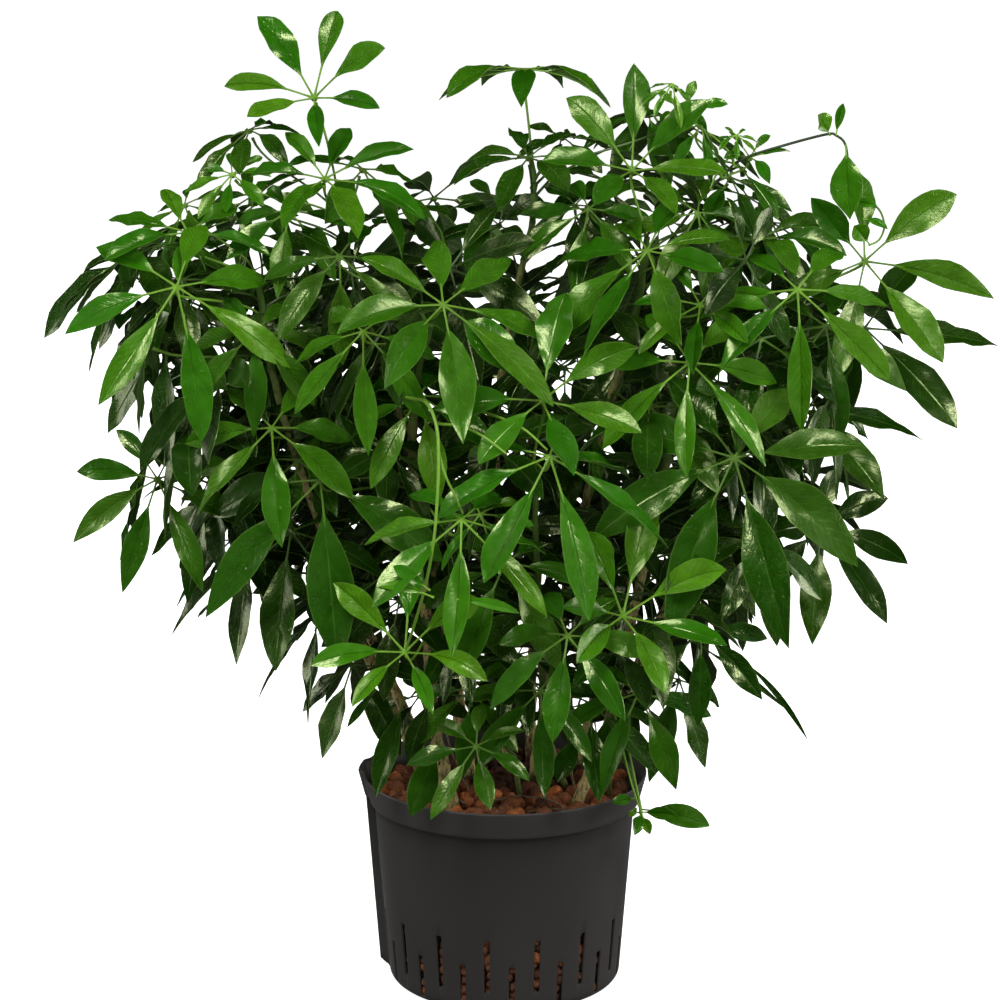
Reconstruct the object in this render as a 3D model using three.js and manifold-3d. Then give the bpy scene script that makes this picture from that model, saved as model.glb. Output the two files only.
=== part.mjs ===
// A bushy umbrella plant in a slotted culture pot that is filled with fired clay pebbles.
// Millimetres, +Z up. The origin is the middle of the pot's underside, and the front looks to -Y.
//
// Every bearing below is in degrees from the front: 0 looks to -Y, 90 to +X, 180 to +Y.
import * as THREE from 'three';
import { mergeVertices } from 'three/addons/utils/BufferGeometryUtils.js';
import Module from 'manifold-3d';

const wasm = await Module();
wasm.setup();

// ---- Driving dimensions -------------------------------------------------------------------------

// The pot: a 250 mm rim on a tapered wall, 190 mm tall.
const POT_HEIGHT = 190;
const RIM_RADIUS = 125;
const BAND_HEIGHT = 24;
const BAND_FOOT_RADIUS = 119;
const WALL_TOP_RADIUS = 114.5;
const BASE_RADIUS = 101.5;
const BASE_ROUNDING = 9;
const WALL = 2.4;
const FLOOR = 3;
const POT_SIDES = 36;

// Drain slots round the foot of the wall, an upper and a lower row by turns.
const SLOT_COUNT = 30;
const SLOT_WIDTH = 5.5;
const FIRST_SLOT_BEARING = 3.6;
const UPPER_SLOT = { bottom: 19.5, top: 68 };
const LOWER_SLOT = { bottom: 5, top: 44.5 };

// The moulded channel for a water gauge, on the pot's left side.
const CHANNEL = { bearing: -97, width: 28, reach: 8.5, rimReach: 4, foot: 8 };

// The clay pebbles, drawn larger than life as a relief of six-sided stones.
const PEBBLE_PITCH = 22;
const PEBBLE_RISE = 6.5;
const PEBBLE_LEVEL = 175;
const PEBBLE_MOUND = 5;

// Every piece keeps this much clear of the next.
const GAP = 0.3;

// A compound leaf: its leaflets ring a small hub on the end of a petiole.
const HUB_RADIUS = 3.4;
const HUB_DEPTH = 2.4;
const PETIOLE_RADIUS = 1.7;
const PETIOLE_REACH = 0.3; // of its length, how far it keeps rising, and keeps to its hub's axis
const STALK_SHARE = 0.2; // of a leaflet's length, the bare stalk before its blade
const STALK_HALF_WIDTH = 1.4;
const BLADE_WIDTH = 0.36; // of a leaflet's length
const BLADE_THICKNESS = 1.5;
const BLADE_FOLD = 0.1; // the rise of the blade's edges, of its half width
const BLADE_STATIONS = [[0.44, 0.98], [0.76, 0.8]]; // share of the length, share of the half width
const PLAIN_STATIONS = [[0.6, 1]]; // of the leaves behind the stems and inside the crown
const LEAF_SAG = 0.12; // the drop of a leaflet's tip under its own weight, of its length
const RING_GAP = 0.35; // the wider gap where the petiole comes in, in leaflets
const INNER_LEAFLET_SHARE = 0.7; // length of the leaflets beside that gap
const SHINGLE_TILT = 4; // degrees, up and down by turns, so that neighbours lap and don't meet

// Leaflets and petioles that would run into another piece take the first of these moves that is clear.
const LEAFLET_MOVES = [
  [0, 0, 1], [0, 7, 1], [0, -7, 1], [9, 0, 1], [-9, 0, 1], [0, 14, 1], [0, -14, 1], [9, 9, 0.92],
  [-9, -9, 0.92], [9, -9, 0.92], [-9, 9, 0.92], [0, 24, 0.92], [0, -24, 0.92], [14, 16, 0.85],
  [-14, -16, 0.85], [0, 0, 0.75], [0, 35, 0.8], [0, -35, 0.8], [0, 14, 0.6], [0, -14, 0.6],
  [0, 0, 0.45], [0, 40, 0.4], [0, -40, 0.4], [0, 0, 0.3],
]; // swing and lift in degrees, share of the length
const PETIOLE_MOVES = [0, 14, -14, 28, -28, 42, -42, 60, -60]; // sideways bend in millimetres
const CLEARANCE = 0.7; // added all round a piece when it is tried
const TRIAL_START = 0.1; // of a leaflet's length: what is nearer the hub is tried with the petiole

// ---- The plant: each leafy stem's path, side twigs and leaves -------------------------------------

// A path point is x, y, z. A leaf is: hub x, y, z; the bearing its face looks to and its lean from
// level; the rise of its leaflets above that face's plane; its turn about the hub; the number of
// leaflets and the length of the longest.
const STEMS = [
  {
    name: 'front_left_stem', footRadius: 7.5, tipRadius: 3, sides: 8,
    path: [[-38, -62, 130], [-52, -56, 202], [-63, -52, 250], [-64, -54, 310], [-72, -60, 400],
      [-78, -66, 490], [-74, -84, 560], [-62, -106, 610]],
    leaves: [
      [-50, -180, 642, 30, 42, 0, 10, 8, 115],
      [-115, -175, 619, 0, 45, -30, 0, 7, 85],
      [-35, -235, 477, 15, 35, -20, -10, 7, 100],
      [-82, -205, 357, -10, 50, 20, 180, 7, 94],
      [-152, -155, 490, -5, 45, -25, -20, 6, 135],
      [-136, -115, 670, 10, 50, -20, 0, 7, 80],
    ],
    extra: 2,
  },
  {
    name: 'left_stem', footRadius: 5, tipRadius: 2.6, sides: 5,
    path: [[-60, -11, 130], [-70, -14, 202], [-100, -20, 280], [-145, -40, 390], [-178, -60, 490],
      [-198, -75, 580], [-205, -80, 640]],
    leaves: [
      [-268, -145, 650, 15, 55, -18, 10, 7, 116],
      [-262, -95, 686, 20, 25, 5, -25, 7, 85],
      [-192, -145, 532, 10, 50, -15, 0, 7, 90],
      [-180, -90, 430, -20, 35, -25, 0, 7, 110],
      [-160, -60, 350, -60, 40, -20, 0, 6, 85],
      [-130, -80, 310, -30, 45, -25, 20, 6, 80],
    ],
    extra: 1,
  },
  {
    name: 'far_left_stem', footRadius: 5, tipRadius: 2.6, sides: 5,
    path: [[-66, 38, 130], [-84, 38, 202], [-125, 40, 290], [-185, 35, 400], [-225, 25, 500],
      [-240, 20, 580]],
    leaves: [
      [-310, -20, 660, -70, 30, -15, 0, 6, 112],
      [-285, -60, 595, -60, 50, -20, 0, 6, 105],
      [-292, -90, 475, 10, 65, -8, 0, 8, 88],
    ],
    extra: 4,
  },
  {
    name: 'top_left_stem', footRadius: 5.5, tipRadius: 2.6, sides: 5,
    path: [[-26, 18, 130], [-33, 18, 202], [-52, 22, 320], [-85, 15, 480], [-120, 0, 600],
      [-140, -15, 680]],
    leaves: [
      [-160, -20, 787, -15, 45, 30, 170, 7, 96],
      [-150, -60, 725, 10, 25, 15, 60, 7, 92],
      [-120, -10, 725, 60, 30, -10, 0, 6, 92],
    ],
    extra: 4,
  },
  {
    name: 'front_green_stem', footRadius: 3.4, tipRadius: 2.4, sides: 5,
    path: [[70, 5, 130], [44, -5, 202], [34, -20, 245], [30, -70, 350],
      [26, -110, 430], [24, -135, 500]],
    leaves: [
      [30, -200, 567, -10, 55, 15, 175, 7, 106],
      [36, -230, 528, 10, 35, -25, 15, 7, 118],
      [51, -225, 377, -20, 50, -10, 0, 7, 82],
      [0, -165, 422, -10, 40, -20, 10, 6, 90],
    ],
    extra: 0,
  },
  {
    name: 'low_front_shoot', footRadius: 2.6, tipRadius: 1.8, sides: 5,
    path: [[14, -28, 130], [11, -35, 202], [0, -60, 232]],
    leaves: [
      [-24, -150, 259, -25, 45, 0, -20, 7, 64],
    ],
    extra: 0,
  },
  {
    name: 'front_right_stem', footRadius: 5.5, tipRadius: 2.8, sides: 8,
    path: [[42, -54, 130], [74, -46, 202], [92, -46, 255], [108, -62, 340], [124, -88, 430],
      [138, -104, 510], [144, -112, 570]],
    leaves: [
      [96, -210, 389, 15, 50, 25, 160, 7, 108],
      [187, -180, 515, 0, 60, -12, -5, 8, 138],
      [151, -155, 589, 0, 60, -20, -5, 7, 98],
      [165, -120, 350, 0, 60, -10, 0, 7, 72],
      [112, -145, 304, 5, 50, -25, 0, 6, 80],
      [150, -60, 290, 30, 50, -35, 0, 6, 78],
    ],
    extra: 1,
  },
  {
    name: 'right_stem', footRadius: 5, tipRadius: 2.6, sides: 5,
    path: [[72, 13, 130], [88, 10, 202], [118, 0, 290], [172, -12, 410], [208, -30, 520],
      [228, -45, 600]],
    leaves: [
      [240, -130, 645, -5, 55, -25, 5, 7, 106],
      [305, -20, 648, 10, 62, 8, 60, 7, 118],
      [310, 20, 582, 0, 35, -5, 65, 6, 122],
      [255, -60, 527, 0, 35, -5, 65, 6, 104],
      [270, -40, 420, 15, 65, 5, 10, 8, 88],
    ],
    extra: 3,
  },
  {
    name: 'top_right_stem', footRadius: 5.5, tipRadius: 2.6, sides: 5,
    path: [[24, 14, 130], [29, 13, 202], [52, 8, 340], [84, -18, 500], [110, -55, 610],
      [118, -85, 680]],
    twigs: [
      {
        radius: 1.7,
        path: [[112, -62, 632], [150, -60, 690], [209, -60, 745], [250, -55, 762], [287, -50, 772]],
        blades: [
          [[287, -50, 772], [0.25, -0.1, 0.9], 20],
          [[285, -50, 771], [-0.7, -0.3, 0.2], 16],
          [[288, -50, 771], [0.5, -0.15, -0.85], 56],
        ],
      },
    ],
    leaves: [
      [116, -145, 680, -40, 40, -5, -20, 8, 98],
      [105, -80, 735, 5, 45, 30, 175, 7, 104],
      [161, -120, 630, -10, 50, 10, 0, 7, 68],
      [210, -40, 670, 20, 20, 20, 0, 7, 88],
      [150, -20, 775, 10, 40, 35, 20, 5, 45],
      [205, -40, 740, 15, 35, 35, 0, 5, 42],
    ],
    extra: 2,
  },
  {
    name: 'centre_stem', footRadius: 4.5, tipRadius: 2.2, sides: 5,
    path: [[2, 44, 130], [2, 48, 202], [0, 58, 340], [-8, 60, 480], [6, 42, 590], [24, 20, 680],
      [22, 30, 740]],
    leaves: [
      [20, -10, 735, -20, 20, 10, 0, 7, 72],
      [17, 40, 803, 180, 10, 0, 180, 7, 90],
      [-5, 60, 665, -30, 45, 30, 30, 6, 64],
    ],
    extra: 4,
  },
  {
    name: 'back_left_stem', footRadius: 5, tipRadius: 2.6, sides: 5,
    path: [[-32, 74, 130], [-40, 84, 202], [-65, 115, 320], [-105, 150, 460], [-130, 165, 580]],
    leaves: [],
    extra: 7,
  },
  {
    name: 'back_stem', footRadius: 5, tipRadius: 2.6, sides: 5,
    path: [[22, 82, 130], [24, 94, 202], [26, 140, 330], [24, 180, 470], [26, 195, 590]],
    leaves: [],
    extra: 7,
  },
  {
    name: 'back_right_stem', footRadius: 5, tipRadius: 2.6, sides: 5,
    path: [[62, 54, 130], [73, 66, 202], [104, 92, 320], [152, 122, 460], [182, 130, 580]],
    leaves: [],
    extra: 7,
  },
  {
    name: 'trailing_shoot', footRadius: 1.8, tipRadius: 1.4, sides: 5,
    path: [[86, -18, 140], [95, -32, 205], [103, -48, 213], [110, -68, 206],
      [116, -84, 189], [118, -90, 172]],
    blades: [
      [[116, -86, 182], [0.95, -0.25, -0.06], 62],
      [[117, -88, 179], [0.3, -0.9, -0.2], 30],
      [[113, -78, 194], [-0.35, -0.75, 0.2], 26],
    ],
    leaves: [],
    extra: 0,
  },
];

// The leaves that the list above leaves out: they follow each other round their stem by the golden
// angle, on the upper part of it, and keep inside the crown and clear of the leaves already there.
const GOLDEN_ANGLE = 137.5;
const GOLDEN_SHARE = 0.618;
const EXTRA_FROM = 0.42; // share of the stem
const EXTRA_PETIOLE = { shortest: 95, more: 70, outward: 0.86, upward: 0.5 };
const EXTRA_LEAF = { lean: 28, moreLean: 30, rise: -18, moreRise: 22, shortest: 84, more: 26 };
const CROWN = { centre: 500, halfWidth: 335, halfDepth: 290, halfHeight: 235, front: -40 };
const HUB_SPACING = 62;
const EXTRA_TRIES = 40;

// ---- Vectors and closed meshes --------------------------------------------------------------------

const vec = (x, y, z) => new THREE.Vector3(x, y, z);
const UP = vec(0, 0, 1);
const rad = THREE.MathUtils.degToRad;
const bearing = (degrees) => vec(Math.sin(rad(degrees)), -Math.cos(rad(degrees)), 0);
const sum = (...terms) => terms.reduce((total, [v, k]) => total.addScaledVector(v, k), vec(0, 0, 0));
const share = (n) => n - Math.floor(n);

/** A closed mesh that is being put together: points and triangles with their faces outwards. */
class Shell {
  constructor() {
    this.points = [];
    this.faces = [];
  }

  add(ring) {
    return ring.map((p) => this.points.push(p) - 1);
  }

  /** Joins two rings of as many points, each anticlockwise about the way from a to b. */
  join(a, b) {
    a.forEach((_, i) => {
      const j = (i + 1) % a.length;
      this.faces.push([a[i], a[j], b[j]], [a[i], b[j], b[i]]);
    });
  }

  /** Closes a ring onto a single point ahead of it. */
  point(a, tip) {
    a.forEach((_, i) => this.faces.push([a[i], a[(i + 1) % a.length], tip]));
  }

  /** Fills a ring that is anticlockwise about the way the fill faces. */
  fill(a) {
    for (let i = 1; i < a.length - 1; i += 1) this.faces.push([a[0], a[i], a[i + 1]]);
  }

  /** Joins a ring to a smaller one ahead of it, both anticlockwise about the way from a to b. */
  gather(a, b) {
    let i = 0;
    let j = 0;
    while (i < a.length || j < b.length) {
      const fromA = a[i % a.length];
      const fromB = b[j % b.length];
      if (j >= b.length || (i < a.length && (i + 1) / a.length <= (j + 1) / b.length)) {
        i += 1;
        this.faces.push([fromA, a[i % a.length], fromB]);
      } else {
        j += 1;
        this.faces.push([fromA, b[j % b.length], fromB]);
      }
    }
  }

  solid() {
    const vertProperties = new Float32Array(this.points.flatMap((p) => [p.x, p.y, p.z]));
    const triVerts = new Uint32Array(this.faces.flat());
    return new wasm.Manifold(new wasm.Mesh({ numProp: 3, vertProperties, triVerts }));
  }
}

/** A closed solid through rings of as many points; a last ring of one point is its tip. */
function loft(rings) {
  const shell = new Shell();
  const ids = rings.map((ring) => shell.add(ring));
  shell.fill([...ids[0]].reverse());
  for (let i = 1; i < ids.length; i += 1) {
    if (ids[i].length === 1) shell.point(ids[i - 1], ids[i][0]);
    else shell.join(ids[i - 1], ids[i]);
  }
  if (ids.at(-1).length > 1) shell.fill(ids.at(-1));
  return shell.solid();
}

/** A three.js geometry as a solid. */
function solidOf(geometry) {
  const plain = geometry.clone();
  plain.deleteAttribute('normal');
  plain.deleteAttribute('uv');
  const merged = mergeVertices(plain, 1e-4);
  const vertProperties = new Float32Array(merged.attributes.position.array);
  const triVerts = new Uint32Array(merged.index.array);
  return new wasm.Manifold(new wasm.Mesh({ numProp: 3, vertProperties, triVerts }));
}

/** The round ring of a rod at one point of its path. */
function rodRing(centre, along, radius, sides) {
  const aside = Math.abs(along.y) < 0.9 ? vec(0, 1, 0) : vec(1, 0, 0);
  const u = aside.clone().cross(along).normalize();
  const w = along.clone().cross(u).normalize();
  return Array.from({ length: sides }, (_, i) => {
    const turn = (i / sides) * Math.PI * 2;
    return sum([centre, 1], [u, radius * Math.cos(turn)], [w, radius * Math.sin(turn)]);
  });
}

/** The rings of a rod through the points, from one radius to another. */
function rodRings(points, fromRadius, toRadius, sides) {
  return points.map((p, i) => {
    const before = points[Math.max(i - 1, 0)];
    const after = points[Math.min(i + 1, points.length - 1)];
    const along = after.clone().sub(before).normalize();
    const radius = THREE.MathUtils.lerp(fromRadius, toRadius, i / (points.length - 1));
    return rodRing(p, along, radius, sides);
  });
}

const rod = (points, fromRadius, toRadius, sides) => loft(rodRings(points, fromRadius, toRadius, sides));

/** The point at a share of a path's length. */
function alongPath(points, t) {
  const lengths = points.slice(1).map((p, i) => p.distanceTo(points[i]));
  let left = t * lengths.reduce((a, b) => a + b, 0);
  for (let i = 0; i < lengths.length; i += 1) {
    if (left <= lengths[i] || i === lengths.length - 1) {
      return points[i].clone().lerp(points[i + 1], Math.min(left / lengths[i], 1));
    }
    left -= lengths[i];
  }
  return points.at(-1).clone();
}

// ---- Leaves ---------------------------------------------------------------------------------------

/** A leaf's face: the way it looks, its downhill way and the way across. */
function leafAxes(leaf) {
  const out = bearing(leaf.bearing);
  const lean = rad(leaf.lean);
  const face = sum([out, Math.sin(lean)], [UP, Math.cos(lean)]);
  const downhill = sum([out, Math.cos(lean)], [UP, -Math.sin(lean)]);
  return { face, downhill, across: face.clone().cross(downhill) };
}

/** One leaflet's way, blade sides and length, after a move of [swing, lift, share of length]. */
function leafletOf(leaf, k, [swing, lift, scale]) {
  const { face, downhill, across } = leafAxes(leaf);
  const place = ((k - (leaf.count - 1) / 2) * 2 * Math.PI) / (leaf.count + RING_GAP);
  const turn = place + rad(leaf.spin + swing);
  const rise = rad(leaf.rise + lift + (k % 2 === 0 ? SHINGLE_TILT : -SHINGLE_TILT));
  const radial = sum([downhill, Math.cos(turn)], [across, Math.sin(turn)]);
  const size = 1 - ((1 - INNER_LEAFLET_SHARE) * (1 - Math.cos(place))) / 2;
  return {
    hub: leaf.hub,
    turn,
    way: sum([radial, Math.cos(rise)], [face, Math.sin(rise)]),
    side: face.clone().cross(radial),
    length: leaf.length * size * scale,
    plain: leaf.plain,
  };
}

/** A leaflet's section at a share of its length: left edge, right edge and keel. */
function leafletRing(leaflet, s, halfWidth, fold, keel) {
  const { hub, way, side, length } = leaflet;
  const centre = sum([hub, 1], [way, length * s], [UP, -length * LEAF_SAG * s ** 3]);
  const along = sum([way, 1], [UP, -3 * LEAF_SAG * s ** 2]).normalize();
  const normal = along.clone().cross(side).normalize();
  return [
    sum([centre, 1], [side, halfWidth], [normal, fold]),
    sum([centre, 1], [side, -halfWidth], [normal, fold]),
    sum([centre, 1], [normal, -keel]),
  ];
}

/** A leaflet's rings from the end of its stalk to its tip, grown all round by a margin. */
function bladeRings(leaflet, margin = 0) {
  const half = (leaflet.length * BLADE_WIDTH) / 2;
  const keel = BLADE_THICKNESS + margin;
  const stalk = leafletRing(leaflet, STALK_SHARE, STALK_HALF_WIDTH + margin, margin, keel);
  const blade = (leaflet.plain ? PLAIN_STATIONS : BLADE_STATIONS).map(([s, width]) => (
    leafletRing(leaflet, s, half * width + margin, half * BLADE_FOLD + margin, keel)
  ));
  const { hub, way, length } = leaflet;
  const tip = sum([hub, 1], [way, length + margin], [UP, -length * LEAF_SAG]);
  return [stalk, ...blade, [tip]];
}

/** The solid that a leaflet is tried as. */
function leafletTrial(leaflet) {
  const half = STALK_HALF_WIDTH + CLEARANCE;
  const start = leafletRing(leaflet, TRIAL_START, half, CLEARANCE, BLADE_THICKNESS);
  return loft([start, ...bladeRings(leaflet, CLEARANCE)]);
}

/** A petiole's points, from its stem to just under its hub, bent aside by some millimetres. */
function petiolePoints(leaf, bend) {
  const { face } = leafAxes(leaf);
  const top = sum([leaf.hub, 1], [face, -HUB_DEPTH * 3]);
  const reach = top.distanceTo(leaf.root);
  const aside = top.clone().sub(leaf.root).cross(UP).normalize();
  const rising = sum([leaf.root, 1], [UP, reach * PETIOLE_REACH], [aside, bend]);
  const arriving = sum([top, 1], [face, -reach * PETIOLE_REACH], [aside, bend]);
  return new THREE.CubicBezierCurve3(leaf.root, rising, arriving, top).getPoints(3);
}

/** The lower part of a petiole, which its own leaflets keep clear of too. */
function lowerPetiole(leaf, bend) {
  const points = petiolePoints(leaf, bend);
  const last = points.length - 1;
  points[last] = points[last - 1].clone().lerp(points[last], 0.6);
  return rod(points, PETIOLE_RADIUS + CLEARANCE, PETIOLE_RADIUS + CLEARANCE, 4);
}

/** The solid that a petiole and its hub are tried as. */
function petioleTrial(leaf, bend) {
  const { face } = leafAxes(leaf);
  const points = petiolePoints(leaf, bend);
  const hub = [points.at(-1), sum([leaf.hub, 1], [face, CLEARANCE])];
  const radius = PETIOLE_RADIUS + CLEARANCE;
  return rod(points, radius, radius, 4).add(rod(hub, radius, leaf.length * TRIAL_START, 6));
}

/** A whole leaf as one closed solid: hub, leaflets and petiole. */
function leafSolid(leaf) {
  const { face, downhill, across } = leafAxes(leaf);
  const shell = new Shell();
  const round = (turn, radius, height) => (
    sum([leaf.hub, 1], [downhill, radius * Math.cos(turn)], [across, radius * Math.sin(turn)], [face, height])
  );
  const turns = leaf.leaflets.map((leaflet) => leaflet.turn);
  const between = turns.map((turn, k) => {
    const next = k + 1 < turns.length ? turns[k + 1] : turns[0] + 2 * Math.PI;
    return (turn + next) / 2;
  });
  const corners = shell.add(between.map((turn) => round(turn, HUB_RADIUS, 0)));
  const unders = shell.add(turns.map((turn) => round(turn, HUB_RADIUS * 0.85, -HUB_DEPTH)));
  shell.fill(corners);
  leaf.leaflets.forEach((leaflet, k) => {
    const before = (k + turns.length - 1) % turns.length;
    let ring = [corners[k], corners[before], unders[k]];
    for (const next of bladeRings(leaflet)) {
      const ids = shell.add(next);
      if (ids.length === 1) shell.point(ring, ids[0]);
      else shell.join(ring, ids);
      ring = ids;
    }
    shell.faces.push([corners[k], unders[k], unders[(k + 1) % turns.length]]);
  });
  const firstCorner = sum([downhill, Math.cos(turns.at(-1))], [across, Math.sin(turns.at(-1))]);
  const points = petiolePoints(leaf, leaf.bend).reverse();
  const rings = points.map((p, i) => {
    const before = points[Math.max(i - 1, 0)];
    const after = points[Math.min(i + 1, points.length - 1)];
    const along = i === 0 ? face.clone().negate() : after.clone().sub(before).normalize();
    return petioleRing(p, along, firstCorner);
  });
  const ids = rings.map((ring) => shell.add(ring));
  shell.gather([...unders].reverse(), ids[0]);
  for (let i = 1; i < ids.length; i += 1) shell.join(ids[i - 1], ids[i]);
  shell.fill(ids.at(-1));
  return shell.solid();
}

/** A three-sided ring of a petiole that looks along its way, with its first corner on a given side. */
function petioleRing(centre, along, firstCorner) {
  const u = sum([firstCorner, 1], [along, -firstCorner.dot(along)]).normalize();
  const w = along.clone().cross(u);
  return [0, 1, 2].map((i) => {
    const turn = (i / 3) * Math.PI * 2;
    return sum([centre, 1], [u, PETIOLE_RADIUS * Math.cos(turn)], [w, PETIOLE_RADIUS * Math.sin(turn)]);
  });
}

/** A single small leaf on a shoot: its start, its way and its length. */
function bladeSolid([start, way, length]) {
  const ahead = vec(...way).normalize();
  const side = vec(-ahead.y, ahead.x, 0).normalize();
  const leaflet = { hub: vec(...start), way: ahead, side, length };
  const root = leafletRing(leaflet, -0.02, STALK_HALF_WIDTH, 0, BLADE_THICKNESS);
  return loft([root, ...bladeRings(leaflet)]);
}

// ---- Growing the plant: every leaf gets its root, and every piece is bent clear ----------------------

/** The stem's own path and its twigs' paths, as points. */
const pathsOf = (stem) => [stem.path, ...(stem.twigs ?? []).map((twig) => twig.path)]
  .map((path) => path.map((p) => vec(...p)));

/** The point of a stem that a leaf's petiole grows from: below the hub, and nearest to it. */
function rootOn(stem, hub) {
  let best = null;
  for (const points of pathsOf(stem)) {
    for (let t = 0.3; t <= 1; t += 0.01) {
      const p = alongPath(points, t);
      const drop = hub.z - p.z;
      const miss = p.distanceTo(hub) + Math.max(0, 45 - drop) * 1.5;
      if (!best || miss < best.miss) best = { p, miss };
    }
  }
  return best.p;
}

function leafFrom(stem, [x, y, z, look, lean, rise, spin, count, length]) {
  const hub = vec(x, y, z);
  const root = rootOn(stem, hub);
  return { stem, hub, root, bearing: look, lean, rise, spin, count, length, plain: y > 0 };
}

const insideCrown = (p) => (
  (p.x / CROWN.halfWidth) ** 2 + (p.y / CROWN.halfDepth) ** 2
    + ((p.z - CROWN.centre) / CROWN.halfHeight) ** 2 < 1 && p.y > CROWN.front
);

/** The leaves that follow each other round one stem by the golden angle. */
function extraLeaves(stem, number, leaves) {
  const points = stem.path.map((p) => vec(...p));
  const found = [];
  for (let i = 0; i < EXTRA_TRIES && found.length < stem.extra; i += 1) {
    const pick = share((i + 1) * GOLDEN_SHARE);
    const other = share((i + 1) * GOLDEN_SHARE * GOLDEN_SHARE + number * GOLDEN_SHARE);
    const look = (number * 61 + i * GOLDEN_ANGLE) % 360;
    const root = alongPath(points, EXTRA_FROM + (1 - EXTRA_FROM) * pick);
    const reach = EXTRA_PETIOLE.shortest + EXTRA_PETIOLE.more * other;
    const hub = sum(
      [root, 1], [bearing(look), reach * EXTRA_PETIOLE.outward], [UP, reach * EXTRA_PETIOLE.upward],
    );
    const clear = [...leaves, ...found].every((leaf) => leaf.hub.distanceTo(hub) > HUB_SPACING);
    if (clear && insideCrown(hub)) {
      found.push({
        stem, hub, root, plain: true, bearing: look,
        lean: EXTRA_LEAF.lean + EXTRA_LEAF.moreLean * other,
        rise: EXTRA_LEAF.rise + EXTRA_LEAF.moreRise * pick,
        spin: 0,
        count: i % 3 === 0 ? 7 : 6,
        length: EXTRA_LEAF.shortest + EXTRA_LEAF.more * share(pick + other),
      });
    }
  }
  return found;
}

const boxOf = (solid) => {
  const { min, max } = solid.boundingBox();
  return new THREE.Box3(vec(...min), vec(...max));
};

/** What stands already: solids with their boxes and owners, which a new piece is tried against. */
class Crowd {
  constructor() {
    this.pieces = [];
  }

  add(solid, owner) {
    this.pieces.push({ solid, box: boxOf(solid), owner });
  }

  meets(solid, ownOwners) {
    const box = boxOf(solid);
    return this.pieces.some((piece) => !ownOwners.includes(piece.owner)
      && piece.box.intersectsBox(box) && !piece.solid.intersect(solid).isEmpty());
  }
}

/** All stems' leaves, with petioles and leaflets bent clear of everything else. */
function growLeaves(crowd) {
  const leaves = STEMS.flatMap((stem) => stem.leaves.map((row) => leafFrom(stem, row)));
  STEMS.forEach((stem, number) => leaves.push(...extraLeaves(stem, number, leaves)));
  for (const leaf of leaves) {
    const clear = PETIOLE_MOVES.find((bend) => !crowd.meets(petioleTrial(leaf, bend), [leaf.stem]));
    leaf.kept = clear !== undefined;
    if (leaf.kept) {
      leaf.bend = clear;
      crowd.add(petioleTrial(leaf, clear), leaf);
      crowd.add(lowerPetiole(leaf, clear), null);
    }
  }
  const kept = leaves.filter((leaf) => leaf.kept);
  for (const leaf of kept) {
    leaf.leaflets = [];
    for (let k = 0; k < leaf.count; k += 1) {
      const tries = LEAFLET_MOVES.map((move) => leafletOf(leaf, k, move));
      const leaflet = tries.find((candidate) => !crowd.meets(leafletTrial(candidate), [leaf]));
      if (leaflet) {
        leaf.leaflets.push(leaflet);
        crowd.add(leafletTrial(leaflet), leaflet);
      }
    }
  }
  return kept.filter((leaf) => leaf.leaflets.length === leaf.count);
}

// ---- Pot and pebbles --------------------------------------------------------------------------------

/** The pot wall's outer radius at a height under the band. */
const wallRadius = (z) => (
  THREE.MathUtils.mapLinear(z, 0, POT_HEIGHT - BAND_HEIGHT, BASE_RADIUS, WALL_TOP_RADIUS)
);

function lathe(profile) {
  const geometry = new THREE.LatheGeometry(profile.map(([r, z]) => new THREE.Vector2(r, z)), POT_SIDES);
  return solidOf(geometry.rotateX(Math.PI / 2));
}

/** The upright column of the gauge channel, drawn in by an inset, from its foot to a height. */
function channelColumn(inset, top) {
  const out = bearing(CHANNEL.bearing);
  const across = vec(-out.y, out.x, 0);
  const half = CHANNEL.width / 2 - inset;
  const rings = [[CHANNEL.foot + inset, -6], [CHANNEL.foot + inset + 6, 0], [top, 0]].map(([z, draw]) => {
    const reach = wallRadius(z) + CHANNEL.reach - inset + draw;
    const corners = [[-half, -24], [half, -24], [half, -5], [half * 0.8, -1.4], [half * 0.45, 0],
      [-half * 0.45, 0], [-half * 0.8, -1.4], [-half, -5]];
    return corners.map(([a, r]) => sum([out, reach + r], [across, a], [UP, z]));
  });
  return loft(rings.map((ring) => ring.reverse()));
}

/** The swelling of the rim's band over the gauge channel. */
function channelRim(inset) {
  const out = bearing(CHANNEL.bearing);
  const across = vec(-out.y, out.x, 0);
  const half = CHANNEL.width / 2 + 5 - inset;
  const foot = POT_HEIGHT - BAND_HEIGHT;
  const rings = [[foot, BAND_FOOT_RADIUS], [POT_HEIGHT, RIM_RADIUS]].map(([z, radius]) => {
    const reach = radius + CHANNEL.rimReach - inset;
    return [[-half, -20], [half, -20], [half, -7], [half * 0.7, -1], [half * 0.3, 0], [-half * 0.3, 0],
      [-half * 0.7, -1], [-half, -7]].map(([a, r]) => sum([out, reach + r], [across, a], [UP, z]));
  });
  return loft(rings.map((ring) => ring.reverse()));
}

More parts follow.
